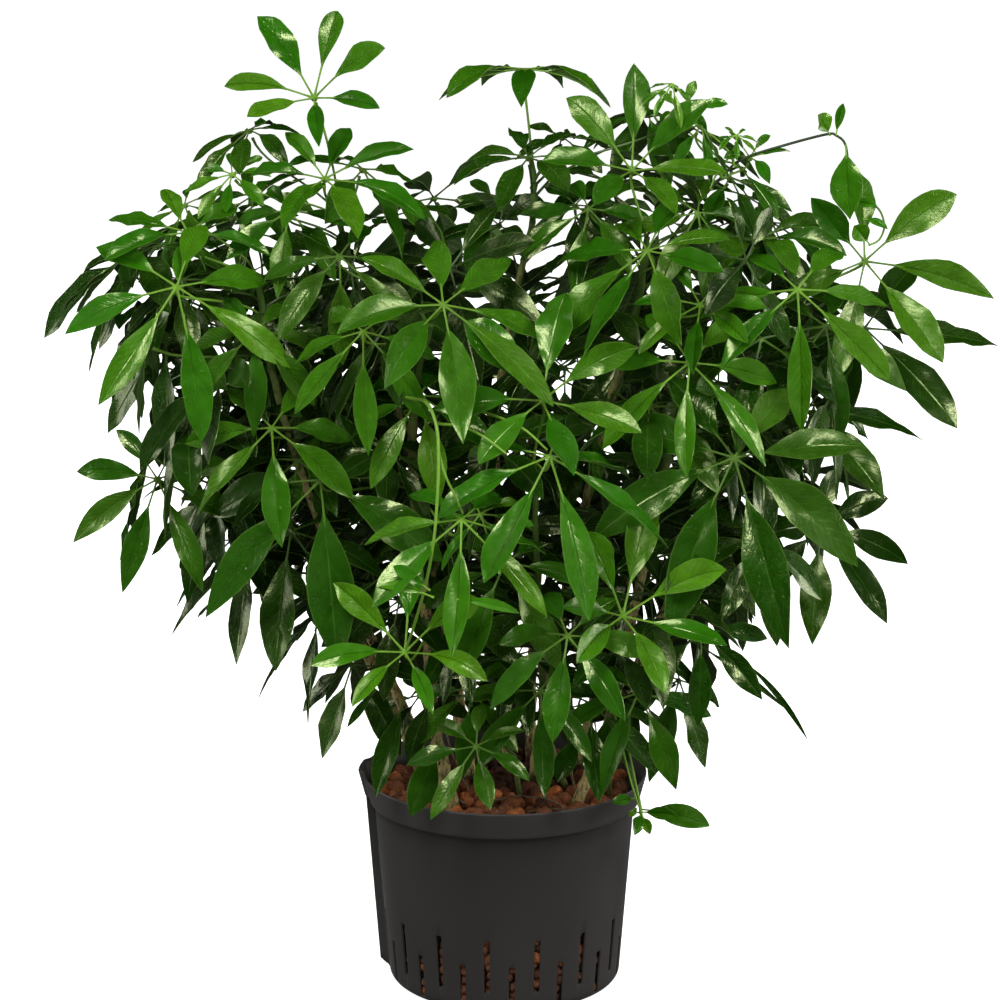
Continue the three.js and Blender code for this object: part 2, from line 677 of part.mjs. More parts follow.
/** Everything inside the pot's wall up to a height, drawn in by an inset. */
function potInside(inset, top) {
  const wallTop = POT_HEIGHT - BAND_HEIGHT;
  const bandFoot = wallTop + 4;
  const lip = RIM_RADIUS - WALL - 1;
  const inner = THREE.MathUtils.mapLinear(top, bandFoot, POT_HEIGHT, BAND_FOOT_RADIUS - WALL, lip) - inset;
  const atTop = top > POT_HEIGHT ? [[lip, POT_HEIGHT], [lip, top], [0, top]] : [[inner, top], [0, top]];
  const bowl = lathe([
    [0, FLOOR + inset],
    [BASE_RADIUS - BASE_ROUNDING - inset, FLOOR + inset],
    [BASE_RADIUS - WALL - inset, FLOOR + inset + BASE_ROUNDING / 2],
    [WALL_TOP_RADIUS - WALL - inset, wallTop - 2],
    [BAND_FOOT_RADIUS - WALL - inset, bandFoot],
    ...atTop,
  ]);
  return bowl.add(channelColumn(WALL + inset, wallTop));
}

function buildPot() {
  const corner = BASE_ROUNDING * 0.29;
  const wallTop = POT_HEIGHT - BAND_HEIGHT;
  let pot = lathe([
    [0, 0],
    [BASE_RADIUS - BASE_ROUNDING, 0],
    [BASE_RADIUS - corner, corner],
    [wallRadius(BASE_ROUNDING), BASE_ROUNDING],
    [WALL_TOP_RADIUS, wallTop],
    [BAND_FOOT_RADIUS, wallTop],
    [RIM_RADIUS, POT_HEIGHT - 1.5],
    [RIM_RADIUS - 1, POT_HEIGHT],
    [0, POT_HEIGHT],
  ]);
  pot = pot.add(channelColumn(0, wallTop + 1)).add(channelRim(0)).subtract(potInside(0, POT_HEIGHT + 1));
  for (let i = 0; i < SLOT_COUNT; i += 1) {
    const { bottom, top } = i % 2 === 0 ? LOWER_SLOT : UPPER_SLOT;
    const turn = FIRST_SLOT_BEARING + (i * 360) / SLOT_COUNT;
    const slot = new THREE.BoxGeometry(SLOT_WIDTH, 20, top - bottom);
    slot.translate(0, -wallRadius((top + bottom) / 2), (top + bottom) / 2);
    pot = pot.subtract(solidOf(slot.rotateZ(rad(turn))));
  }
  return pot;
}

/** A bed of six-sided stones: raised middles, sunk corners that neighbours share. */
function pebbleRelief() {
  const shell = new Shell();
  const known = new Map();
  const rowStep = PEBBLE_PITCH * Math.sqrt(3) / 2;
  const reach = Math.ceil(RIM_RADIUS / rowStep) + 1;
  const vary = (x, y) => share(Math.sin(x * 12.9898 + y * 78.233) * 43758.5453) - 0.5;
  const spot = (x, y, rise) => {
    const key = `${Math.round(x * 10)},${Math.round(y * 10)}`;
    if (!known.has(key)) {
      const mound = PEBBLE_LEVEL + PEBBLE_MOUND * (1 - (x * x + y * y) / RIM_RADIUS ** 2);
      const [kx, ky] = key.split(',').map(Number);
      const top = vec(x + 3 * vary(kx, ky), y + 3 * vary(ky, kx), mound + rise * (1 + vary(kx + ky, ky)));
      known.set(key, shell.add([top, vec(top.x, top.y, 0)]));
    }
    return known.get(key);
  };
  const edges = new Map();
  for (let row = -reach; row <= reach; row += 1) {
    for (let column = -reach; column <= reach; column += 1) {
      const x = (column + (Math.abs(row) % 2) / 2) * PEBBLE_PITCH;
      const y = row * rowStep;
      const middle = spot(x, y, PEBBLE_RISE);
      const corners = [0, 1, 2, 3, 4, 5].map((i) => {
        const turn = rad(30 + 60 * i);
        const far = PEBBLE_PITCH / Math.sqrt(3);
        return spot(x + far * Math.cos(turn), y + far * Math.sin(turn), 0);
      });
      corners.forEach((corner, i) => {
        const next = corners[(i + 1) % 6];
        shell.faces.push([middle[0], corner[0], next[0]], [middle[1], next[1], corner[1]]);
        edges.set(`${corner[0]}>${next[0]}`, [corner, next]);
      });
    }
  }
  for (const [key, [from, to]] of edges) {
    const [a, b] = key.split('>');
    if (!edges.has(`${b}>${a}`)) {
      shell.faces.push([from[0], from[1], to[1]], [from[0], to[1], to[0]]);
    }
  }
  return shell.solid();
}

/** The plain hole that a stem stands in. */
function stemHole(stem) {
  const foot = stem.path[0];
  const points = [[foot[0], foot[1], foot[2] - GAP], ...stem.path.slice(1)].map((p) => vec(...p));
  const last = points.findIndex((p) => p.z > PEBBLE_LEVEL + 12);
  const rings = rodRings(points, stem.footRadius + GAP, stem.tipRadius + GAP, stem.sides);
  return loft(rings.slice(0, last + 1));
}

function buildPebbles() {
  const top = POT_HEIGHT - 4;
  let bed = potInside(GAP, top).intersect(pebbleRelief());
  for (const stem of STEMS) bed = bed.subtract(stemHole(stem));
  return bed;
}

// ---- The group ----------------------------------------------------------------------------------------

const plastic = new THREE.MeshStandardMaterial({ color: 0x302e2d, roughness: 0.55 });
const clay = new THREE.MeshStandardMaterial({ color: 0x8a4a33, roughness: 0.95 });
const foliage = new THREE.MeshStandardMaterial({ color: 0x2f6a1c, roughness: 0.35 });

const plant = new THREE.Group();

function place(name, solid, material) {
  const { vertProperties, triVerts } = solid.getMesh();
  const geometry = new THREE.BufferGeometry();
  geometry.setAttribute('position', new THREE.BufferAttribute(vertProperties, 3));
  geometry.setIndex(new THREE.BufferAttribute(triVerts, 1));
  geometry.computeVertexNormals();
  const mesh = new THREE.Mesh(geometry, material);
  mesh.name = name;
  plant.add(mesh);
}

/** A stem's woody part: the stem, its twigs and the single leaves on its shoots. */
function woodOf(stem) {
  const points = stem.path.map((p) => vec(...p));
  let wood = rod(points, stem.footRadius, stem.tipRadius, stem.sides);
  for (const twig of stem.twigs ?? []) {
    wood = wood.add(rod(twig.path.map((p) => vec(...p)), twig.radius, twig.radius, 4));
    for (const blade of twig.blades) wood = wood.add(bladeSolid(blade));
  }
  for (const blade of stem.blades ?? []) wood = wood.add(bladeSolid(blade));
  return wood;
}

const pot = buildPot();
place('pot', pot, plastic);
place('clay_pebbles', buildPebbles(), clay);

const crowd = new Crowd();
crowd.add(pot, 'pot');
const woods = new Map(STEMS.map((stem) => [stem, woodOf(stem)]));
for (const [stem, wood] of woods) crowd.add(wood, stem);

const leaves = growLeaves(crowd);
for (const [stem, wood] of woods) {
  const own = leaves.filter((leaf) => leaf.stem === stem).map(leafSolid);
  place(stem.name, own.reduce((all, leaf) => all.add(leaf), wood), foliage);
}

export default plant;
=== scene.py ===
"""A bushy umbrella plant in a slotted culture pot that is filled with fired clay pebbles.

Shapes are worked out in millimetres, +Z up, and become metres as each piece is finished. The origin
is the middle of the pot's underside, and the front looks to -Y. Every bearing is in degrees from the
front: 0 looks to -Y, 90 to +X and 180 to +Y.
"""

import sys

import functools
import logging
import math
import random
from collections.abc import Callable, Mapping, Sequence
from dataclasses import dataclass, field, replace
from enum import Enum

import bmesh
import bpy
from mathutils import Euler, Matrix, Vector, noise
from mathutils.bvhtree import BVHTree
from mathutils.kdtree import KDTree


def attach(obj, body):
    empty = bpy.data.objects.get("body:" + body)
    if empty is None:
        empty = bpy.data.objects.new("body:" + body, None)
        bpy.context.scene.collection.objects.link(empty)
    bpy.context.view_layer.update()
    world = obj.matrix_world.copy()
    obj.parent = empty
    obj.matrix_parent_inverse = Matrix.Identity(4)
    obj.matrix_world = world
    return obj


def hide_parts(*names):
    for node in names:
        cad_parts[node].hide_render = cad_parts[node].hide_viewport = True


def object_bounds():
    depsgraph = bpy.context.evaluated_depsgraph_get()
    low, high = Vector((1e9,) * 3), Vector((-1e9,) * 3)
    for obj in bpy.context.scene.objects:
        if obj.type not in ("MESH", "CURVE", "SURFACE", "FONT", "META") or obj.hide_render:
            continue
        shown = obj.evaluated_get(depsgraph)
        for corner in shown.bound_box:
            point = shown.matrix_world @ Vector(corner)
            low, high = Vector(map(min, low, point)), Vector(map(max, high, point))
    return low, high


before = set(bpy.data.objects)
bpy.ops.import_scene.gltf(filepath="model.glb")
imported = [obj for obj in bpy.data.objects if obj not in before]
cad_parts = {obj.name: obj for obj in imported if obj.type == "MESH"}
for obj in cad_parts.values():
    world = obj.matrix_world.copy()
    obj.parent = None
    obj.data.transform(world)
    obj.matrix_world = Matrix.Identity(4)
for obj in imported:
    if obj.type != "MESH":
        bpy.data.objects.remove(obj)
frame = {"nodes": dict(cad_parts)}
CAD_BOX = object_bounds()

log = logging.getLogger("umbrella_plant")

MM = 0.001
UP = Vector((0, 0, 1))
TURN = 2 * math.pi

Colour = tuple[float, float, float]
Place = tuple[float, float, float]
LeafRow = tuple[float, float, float, float, float, float, float, int, float, float]
BladeRow = tuple[Place, Place, float, float, float]


# ---- Shader nodes ----------------------------------------------------------------------------------


def operator(kind: str, swapped: bool = False) -> Callable[["Signal", "Signal | float"], "Signal"]:
    """The method behind one of Python's operators, which adds a Math node of that kind."""

    def method(this: "Signal", other: "Signal | float") -> "Signal":
        """Works on this and the other, or on the other and this if they are swapped."""
        return this.maths(kind, *((other, this) if swapped else (this, other)))

    return method


class Signal:
    """One output of a shader node, which Python's operators work on."""

    def __init__(self, paint: "Paint", socket: bpy.types.NodeSocket) -> None:
        """Keeps the socket and the material that it is in."""
        self.paint = paint
        self.socket = socket

    def maths(self, operation: str, *values: "Signal | float") -> "Signal":
        """Adds a Math node.

        Args:
            operation: the node's operation.
            values: what goes into its sockets, in their order.

        Returns:
            The node's output.
        """
        return self.paint.node("ShaderNodeMath", {"operation": operation}, dict(enumerate(values)))

    __add__, __radd__ = operator("ADD"), operator("ADD", swapped=True)
    __sub__, __rsub__ = operator("SUBTRACT"), operator("SUBTRACT", swapped=True)
    __mul__, __rmul__ = operator("MULTIPLY"), operator("MULTIPLY", swapped=True)
    __truediv__, __rtruediv__ = operator("DIVIDE"), operator("DIVIDE", swapped=True)
    __pow__ = operator("POWER")
    __mod__ = operator("FLOORED_MODULO")
    __gt__ = operator("GREATER_THAN")
    __lt__ = operator("LESS_THAN")

    def __abs__(self) -> "Signal":
        """This without its sign."""
        return self.maths("ABSOLUTE", self)

    def clipped(self) -> "Signal":
        """This held between 0 and 1."""
        return self.maths("MINIMUM", self.maths("MAXIMUM", self, 0.0), 1.0)

    def peak(self, width: float) -> "Signal":
        """1 where this is 0, falling to 0 at the width on either side."""
        return (1 - abs(self) / width).clipped()


class Paint:
    """A material that is put together node by node."""

    def __init__(self, name: str) -> None:
        """Starts an empty material of that name."""
        self.material = bpy.data.materials.new(name)
        self.material.use_nodes = True
        self.tree = self.material.node_tree
        self.tree.nodes.clear()

    def node(
        self,
        kind: str,
        settings: Mapping[str, object] | None = None,
        sockets: Mapping[int | str, object] | None = None,
        output: int | str = 0,
    ) -> Signal:
        """Adds a node.

        Args:
            kind: the node's type.
            settings: its settings, which are set first; "stops" are a ramp's places and colours.
            sockets: a value or a signal for each input, by its number or name.
            output: the number or name of the output that is wanted.

        Returns:
            That output.
        """
        made = self.tree.nodes.new(kind)
        for name, value in (settings or {}).items():
            if name == "stops":
                self._set_stops(made.color_ramp, value)
            else:
                setattr(made, name, value)
        for key, value in (sockets or {}).items():
            if isinstance(value, Signal):
                self.tree.links.new(value.socket, made.inputs[key])
            else:
                made.inputs[key].default_value = value
        return Signal(self, made.outputs[output])

    @staticmethod
    def _set_stops(ramp: bpy.types.ColorRamp, stops: Sequence[tuple[float, Colour]]) -> None:
        """Gives a ramp its stops."""
        while len(ramp.elements) < len(stops):
            ramp.elements.new(1.0)
        for element, (position, colour) in zip(ramp.elements, stops):
            element.position = position
            element.color = (*colour, 1.0)

    def mixed(self, factor: Signal | float, a: Signal | Colour, b: Signal | Colour) -> Signal:
        """The colour a turned into b by a factor."""
        sockets = {0: factor, 6: self._colour(a), 7: self._colour(b)}
        return self.node("ShaderNodeMix", {"data_type": "RGBA"}, sockets, 2)

    def shaded(self, colour: Signal, shade: Signal) -> Signal:
        """A colour times a number that varies."""
        settings = {"data_type": "RGBA", "blend_type": "MULTIPLY"}
        return self.node("ShaderNodeMix", settings, {0: 1.0, 6: colour, 7: shade}, 2)

    @staticmethod
    def _colour(value: Signal | Colour) -> Signal | tuple[float, ...]:
        """A colour as a socket takes it."""
        return value if isinstance(value, Signal) else (*value, 1.0)

    def attribute(self, name: str) -> Signal:
        """The number that the mesh keeps under that name."""
        return self.node("ShaderNodeAttribute", {"attribute_name": name}, output="Fac")

    def place(self) -> Signal:
        """The place on the piece, in metres."""
        return self.node("ShaderNodeTexCoord", output="Object")

    def axes(self, vector: Signal) -> tuple[Signal, Signal, Signal]:
        """The three numbers of a vector."""
        split = self.node("ShaderNodeSeparateXYZ", sockets={0: vector})
        return tuple(Signal(self, socket) for socket in split.socket.node.outputs)

    def stretched(self, vector: Signal, scale: Place) -> Signal:
        """A vector with each number scaled."""
        return self.node("ShaderNodeVectorMath", {"operation": "MULTIPLY"}, {0: vector, 1: scale})

    def clouds(self, vector: Signal, scale: float, detail: float) -> Signal:
        """Soft noise between 0 and 1, with that many cells a metre."""
        sockets = {"Vector": vector, "Scale": scale, "Detail": detail}
        return self.node("ShaderNodeTexNoise", sockets=sockets)

    def cells(self, vector: Signal, scale: float, feature: str = "F1") -> Signal:
        """The distance in a pattern of cells, with that many cells a metre."""
        sockets = {"Vector": vector, "Scale": scale}
        return self.node("ShaderNodeTexVoronoi", {"feature": feature}, sockets, "Distance")

    def relief(self, height: Signal, depth: float, strength: float) -> Signal:
        """The normal of a surface whose height varies by a depth in metres."""
        sockets = {"Strength": strength, "Distance": depth, "Height": height}
        return self.node("ShaderNodeBump", sockets=sockets)

    def finish(self, **sockets: Signal | float | Colour) -> bpy.types.Material:
        """Ends the material with a shader.

        Args:
            sockets: the shader's inputs by name, with _ for each space.

        Returns:
            The material.
        """
        named = {key.replace("_", " "): value for key, value in sockets.items()}
        shader = self.node("ShaderNodeBsdfPrincipled", sockets=named)
        end = self.tree.nodes.new("ShaderNodeOutputMaterial")
        self.tree.links.new(shader.socket, end.inputs["Surface"])
        return self.material


# ---- Finishes --------------------------------------------------------------------------------------


@dataclass(frozen=True)
class VeinedFinish:
    """What both faces of a leaf share: the run of the veins, from the midrib out to the edge."""

    veins_a_side: float = 11.0
    vein_slant: float = 2.3

    def veins(
        self, paint: Paint, width: float, wander: Signal | float = 0.0
    ) -> tuple[Signal, Signal]:
        """Works out where the veins are.

        Args:
            paint: the material.
            width: half a vein's width, as a share of the space between two.
            wander: how far the veins stray.

        Returns:
            The distance from the midrib, 1 at the edge, and how much a place lies on a vein.
        """
        along, over, _ = paint.axes(paint.node("ShaderNodeUVMap", {"uv_map": "blade"}))
        edge = abs(over - 0.5) * 2
        row = along * self.veins_a_side - edge * self.vein_slant + (over > 0.5) * 0.5 + wander
        return edge, (row % 1.0 - 0.5).peak(width) * (1 - edge**3)


@dataclass(frozen=True)
class LeafFinish(VeinedFinish):
    """The glossy upper face of a leaf: veins, a sunken midrib darkened with painted shade and a thin
    pale margin that is partly a painted edge highlight.
    """

    young: Colour = (0.025, 0.176, 0.001)
    # the dark end of the tone: old leaves, and painted shade on leaves inside the crown
    mature_and_shaded: Colour = (0.006, 0.025, 0.001)
    fresh_cast: Colour = (0.130, 0.290, 0.003)
    sheen: tuple[float, float, float, float] = (0.88, 1.0, 0.50, 1.0)
    vein: Colour = (0.110, 0.290, 0.030)
    margin: Colour = (0.220, 0.400, 0.070)
    midrib_shade: Colour = (0.010, 0.050, 0.003)

    def material(self) -> bpy.types.Material:
        """Returns: the material."""
        paint = Paint("leaf_upper_face")
        place = paint.place()
        tone = paint.attribute("tone")
        luck = paint.attribute("luck")
        mottle = paint.clouds(place, 90, 4)
        broad = paint.clouds(place, 16, 2)
        edge, vein = self.veins(paint, 0.16, (paint.clouds(place, 220, 2) - 0.5) * 0.35)
        rib = edge.peak(0.075)
        net = paint.cells(place, 420, "DISTANCE_TO_EDGE")
        rim = (edge - 0.93).clipped() * 14
        # tone runs from the mature to the young colour: partly the leaf's age, partly painted shade
        # that darkens leaves inside the crown and painted light that brightens the outer ones
        colour = paint.mixed(tone, self.mature_and_shaded, self.young)
        colour = paint.mixed(luck * luck * tone * 0.55, colour, self.fresh_cast)
        colour = paint.mixed(vein * 0.05 * (0.4 + tone), colour, self.vein)
        # painted shade: a dark line in the hollow along the midrib, strongest on bright leaves
        colour = paint.mixed(rib * tone * 0.45, colour, self.midrib_shade)
        colour = paint.mixed(rib * (1 - tone) * 0.30, colour, self.vein)
        # a thin pale margin: partly the leaf's own colour, partly a painted highlight where the edge
        # catches light
        colour = paint.mixed(rim.clipped() * 0.28, colour, self.margin)
        colour = paint.shaded(colour, 0.36 + mottle * 0.82 + broad * 0.44)
        height = vein * -0.10 + rib * -0.8 + mottle * 1.25 + (net * 30).clipped() * 0.3
        return paint.finish(
            Base_Color=colour,
            Roughness=(0.09 + mottle * 0.13 + vein * 0.05 + luck * 0.12).clipped(),
            Normal=paint.relief(height, 0.0005, 0.85),
            Specular_IOR_Level=0.95,
            Specular_Tint=self.sheen,
        )


@dataclass(frozen=True)
class UnderleafFinish(VeinedFinish):
    """The paler, duller under face of a leaf, with raised veins."""

    young: Colour = (0.120, 0.270, 0.040)
    mature_and_shaded: Colour = (0.030, 0.062, 0.016)
    vein: Colour = (0.210, 0.340, 0.090)

    def material(self) -> bpy.types.Material:
        """Returns: the material."""
        paint = Paint("leaf_under_face")
        edge, vein = self.veins(paint, 0.14)
        tone = paint.attribute("tone")
        mottle = paint.clouds(paint.place(), 120, 3)
        # as on the upper face, a low tone is partly painted shade inside the crown
        colour = paint.mixed(tone, self.mature_and_shaded, self.young)
        colour = paint.mixed((vein * 0.35 + edge.peak(0.08) * 0.6).clipped(), colour, self.vein)
        colour = paint.shaded(colour, 0.75 + mottle * 0.5)
        return paint.finish(
            Base_Color=colour,
            Roughness=0.46 + mottle * 0.14,
            Normal=paint.relief(vein + edge.peak(0.1) * 1.5 + mottle * 0.3, 0.0005, 0.7),
        )


@dataclass(frozen=True)
class StalkFinish:
    """Leaf stalks and hubs: yellow-green when young, dark and dull when old, and darker with painted
    shade where their leaf's tone is low inside the crown.
    """

    young: Colour = (0.190, 0.400, 0.030)
    mature_and_shaded: Colour = (0.018, 0.036, 0.008)

    def material(self) -> bpy.types.Material:
        """Returns: the material."""
        paint = Paint("leaf_stalks")
        place = paint.place()
        streaks = paint.clouds(paint.stretched(place, (1.0, 1.0, 0.15)), 900, 3)
        patches = paint.clouds(place, 60, 2)
        tone = (paint.attribute("tone") + (patches - 0.5) * 0.35).clipped()
        colour = paint.shaded(paint.mixed(tone, self.mature_and_shaded, self.young), 0.7 + streaks * 0.6)
        return paint.finish(
            Base_Color=colour,
            Roughness=0.38 + streaks * 0.2,
            Normal=paint.relief(streaks, 0.0003, 0.6),
        )


@dataclass(frozen=True)
class BarkFinish:
    """The bark of stems and twigs: tan and rough on old wood, olive and then green on new."""

    old: Colour = (0.600, 0.490, 0.190)
    red: Colour = (0.330, 0.190, 0.070)
    pale: Colour = (0.860, 0.780, 0.420)
    crack: Colour = (0.045, 0.034, 0.015)
    green: Colour = (0.080, 0.160, 0.022)

    def material(self) -> bpy.types.Material:
        """Returns: the material."""
        paint = Paint("stem_bark")
        place = paint.place()
        grain = paint.clouds(paint.stretched(place, (1.0, 1.0, 0.22)), 480, 6)
        rings = paint.clouds(paint.stretched(place, (0.35, 0.35, 1.0)), 420, 3)
        patches = paint.clouds(place, 42, 3)
        dots = paint.cells(paint.stretched(place, (1.0, 1.0, 0.6)), 340)
        pores = (0.34 - dots).clipped() * 4
        youth = (paint.attribute("tone") * 1.6 - 0.45 + (patches - 0.5) * 0.5).clipped()
        colour = paint.mixed((patches * 2.4 - 1.1).clipped() * 0.6, self.old, self.red)
        colour = paint.mixed((grain * 5.6 - 2.7).clipped(), colour, self.crack)
        colour = paint.mixed(pores.clipped() * 0.55, colour, self.pale)
        colour = paint.mixed(youth, colour, self.green)
        colour = paint.shaded(colour, 0.6 + rings * 0.7)
        height = grain + rings * 0.8 + pores.clipped() * 0.5
        return paint.finish(
            Base_Color=colour,
            Roughness=0.62 + grain * 0.25,
            Normal=paint.relief(height * (1.25 - youth), 0.0014, 0.9),
        )


@dataclass(frozen=True)
class ClayFinish:
    """Fired clay: orange to maroon from stone to stone, pitted and dust-speckled, rougher towards the
    rim, with painted shade on the stones in the middle and at the back and painted light on those
    towards the rim and on the higher ones.
    """

    orange: Colour = (0.680, 0.200, 0.050)
    brown: Colour = (0.290, 0.100, 0.040)
    maroon: Colour = (0.060, 0.022, 0.014)
    dust: Colour = (0.620, 0.340, 0.150)
    shade_middle: float = 0.055
    shade_radius: float = 0.068
    lit_radius: float = 0.098
    lit_height: float = 0.100

    def material(self) -> bpy.types.Material:
        """Returns: the material."""
        paint = Paint("fired_clay")
        place = paint.place()
        speckle = paint.clouds(place, 700, 5)
        crust = paint.clouds(place, 190, 3)
        pits = (0.3 - paint.cells(place, 620)).clipped() * 5
        stops = ((0.0, self.maroon), (0.35, self.brown), (0.7, self.brown), (1.0, self.orange))
        shift = paint.attribute("luck") + (crust - 0.5) * 0.6
        # painted shade and light: stones round a middle set back from the pot's middle are darkened,
        # those towards the rim and above lit_height are brightened
        x, y, z = paint.axes(place)
        y = y - self.shade_middle
        shade_end, paler_end = self.shade_radius**2, self.lit_radius**2
        lit_share = ((x * x + y * y - shade_end) * (1 / (paler_end - shade_end)) + (crust - 0.5) * 0.6).clipped()
        upper = ((z - self.lit_height) * 30).clipped()
        colour = paint.node("ShaderNodeValToRGB", {"stops": stops}, {0: shift})
        colour = paint.mixed((speckle * 3.4 - 1.8).clipped() * 0.6, colour, self.dust)
        colour = paint.mixed(pits.clipped() * 0.7, colour, self.maroon)
        # painted shade in the middle and at the back, painted light towards the rim and on the higher
        # stones
        colour = paint.shaded(colour, 0.20 + lit_share * (0.22 + upper * 0.82))
        return paint.finish(
            Base_Color=colour,
            Roughness=0.66 + lit_share * 0.2 + speckle * 0.1,
            Normal=paint.relief(speckle + crust * 0.8 - pits * 0.6, 0.0011, 0.9),
        )


@dataclass(frozen=True)
class ShadedDepthFinish:
    """The dark depth between the stones, a sheet of painted shade."""

    darker_end: Colour = (0.012, 0.007, 0.005)
    paler_end: Colour = (0.050, 0.024, 0.014)

    def material(self) -> bpy.types.Material:
        """Returns: the material."""
        paint = Paint("pebble_depth")
        crumbs = paint.clouds(paint.place(), 350, 5)
        return paint.finish(
            Base_Color=paint.mixed((crumbs * 2 - 0.6).clipped(), self.darker_end, self.paler_end),
            Roughness=0.8 + crumbs * 0.15,
            Normal=paint.relief(crumbs, 0.002, 1.0),
        )


@dataclass(frozen=True)
class RootFinish:
    """Thin pale air roots with dusty fibres."""

    pale: Colour = (0.330, 0.260, 0.150)
    brown: Colour = (0.110, 0.065, 0.032)

    def material(self) -> bpy.types.Material:
        """Returns: the material."""
        paint = Paint("air_roots")
        fibre = paint.clouds(paint.stretched(paint.place(), (1.0, 1.0, 0.4)), 500, 4)
        return paint.finish(
            Base_Color=paint.mixed((fibre * 2.2 - 0.6).clipped(), self.brown, self.pale),
            Roughness=0.7 + fibre * 0.2,
            Normal=paint.relief(fibre, 0.0006, 0.8),
        )


@dataclass(frozen=True)
class PotFinish:
    """Moulded charcoal plastic: satin, finely grained, with dust towards the foot and mould lines."""

    charcoal: Colour = (0.0272, 0.0254, 0.0237)
    dust: Colour = (0.060, 0.055, 0.048)
    line_turn: float = math.radians(24)
    first_line: float = math.radians(15.6)
    line_top: float = 0.0195
    band_foot: float = 0.1655
    band_radius: float = 0.1178

    def material(self) -> bpy.types.Material:
        """Returns: the material."""
        paint = Paint("pot_plastic")
        place = paint.place()
        x, y, z = paint.axes(place)
        turn = paint.node("ShaderNodeMath", {"operation": "ARCTAN2"}, {0: x, 1: y * -1})
        off = (turn - self.first_line + self.line_turn / 2) % self.line_turn - self.line_turn / 2
        line = off.peak(0.006) * (z < self.line_top) * (z > 0.004)
        grain = paint.clouds(place, 1500, 2)
        haze = paint.clouds(paint.stretched(place, (1.0, 1.0, 0.5)), 14, 4)
        low = (1 - z / 0.16).clipped()
        colour = paint.mixed((haze * 0.22 + low * haze * 0.2).clipped(), self.charcoal, self.dust)
        # painted light: the outside of the rim band is made 1.6 times lighter, standing in for light
        # reflected up onto it
        band = (z > self.band_foot) * (x * x + y * y > self.band_radius**2)
        colour = paint.shaded(colour, band * 0.6 + 1)
        height = grain * 0.3 - line * 2.0
        return paint.finish(
            Base_Color=colour,
            Roughness=0.44 + haze * 0.12 + grain * 0.06,
            Normal=paint.relief(height, 0.00025, 0.55),
            Specular_IOR_Level=0.5,
            Sheen_Weight=0.10,
            Sheen_Roughness=0.35,
        )


@dataclass(frozen=True)
class FloorFinish:
    """The pale sweep that the pot stands on."""

    paper: Colour = (0.90, 0.90, 0.90)
    glow: float = 0.9

    def material(self) -> bpy.types.Material:
        """Returns: the material."""
        paint = Paint("studio_floor")
        return paint.finish(
            Base_Color=(*self.paper, 1.0),
            Roughness=0.9,
            Emission_Color=(1.0, 1.0, 1.0, 1.0),
            Emission_Strength=self.glow,
        )


# ---- Curves and meshes -----------------------------------------------------------------------------


def bearing(degrees: float) -> Vector:
    """The level direction with that bearing."""
    turn = math.radians(degrees)
    return Vector((math.sin(turn), -math.cos(turn), 0))


def lerp(a: float, b: float, t: float) -> float:
    """The number a share t of the way from a to b."""
    return a + (b - a) * t


def clamped(number: float) -> float:
    """A number held between 0 and 1."""
    return min(max(number, 0.0), 1.0)


def smooth(t: float) -> float:
    """An even rise from 0 to 1."""
    t = clamped(t)
    return t * t * (3 - 2 * t)


def vectors(path: Sequence[Place]) -> list[Vector]:
    """The points of a path in a table."""
    return [Vector(point) for point in path]


def part_of(number: float) -> float:
    """What is left of a number past its whole part."""
    return number - math.floor(number)


def along_path(points: Sequence[Vector], t: float) -> Vector:
    """The point at a share of a path's length."""
    lengths = [(b - a).length for a, b in zip(points, points[1:])]
    left = t * sum(lengths)
    for i, length in enumerate(lengths):
        if left <= length or i == len(lengths) - 1:
            return points[i].lerp(points[i + 1], min(left / length, 1.0))
        left -= length
    return points[-1].copy()


def bezier(a: Vector, b: Vector, c: Vector, d: Vector, steps: int) -> list[Vector]:
    """Evenly numbered points of a cubic curve, both ends among them."""
    found = []
    for i in range(steps + 1):
        t = i / steps
        s = 1 - t
        found.append(a * s**3 + b * (3 * s * s * t) + c * (3 * s * t * t) + d * t**3)
    return found


def rounded_path(points: Sequence[Vector], spacing: float) -> list[tuple[Vector, float]]:
    """A smooth curve through a path's points.

    Args:
        points: the path's points.
        spacing: the distance from one point of the curve to the next.

    Returns:
        The curve's points, each with its share of the way through the list of the path's points.
    """
    ends = [points[0] * 2 - points[1], *points, points[-1] * 2 - points[-2]]
    found = []
    for i in range(len(points) - 1):
        a, b, c, d = ends[i : i + 4]
        steps = max(2, round((c - b).length / spacing))
        for k in range(steps):
            t = k / steps
            spot = (
                b * 2 + (c - a) * t + (a * 2 - b * 5 + c * 4 - d) * t**2
                + (b * 3 - a - c * 3 + d) * t**3
            ) * 0.5
            found.append((spot, (i + t) / (len(points) - 1)))
    found.append((points[-1].copy(), 1.0))
    return found


def turned_frames(points: Sequence[Vector]) -> list[tuple[Vector, Vector]]:
    """Two directions square to a path at each of its points, which turn as little as they can."""
    frames = []
    across = None
    for i, _ in enumerate(points):
        along = (points[min(i + 1, len(points) - 1)] - points[max(i - 1, 0)]).normalized()
        if across is None:
            across = along.orthogonal()
        across = (across - along * across.dot(along)).normalized()
        frames.append((across.copy(), along.cross(across)))
    return frames


def new_shape() -> bmesh.types.BMesh:
    """An empty shape with the layers that the finishes read."""
    shape = bmesh.new()
    shape.verts.layers.float.new("tone")
    shape.verts.layers.float.new("luck")
    shape.loops.layers.uv.new("blade")
    return shape


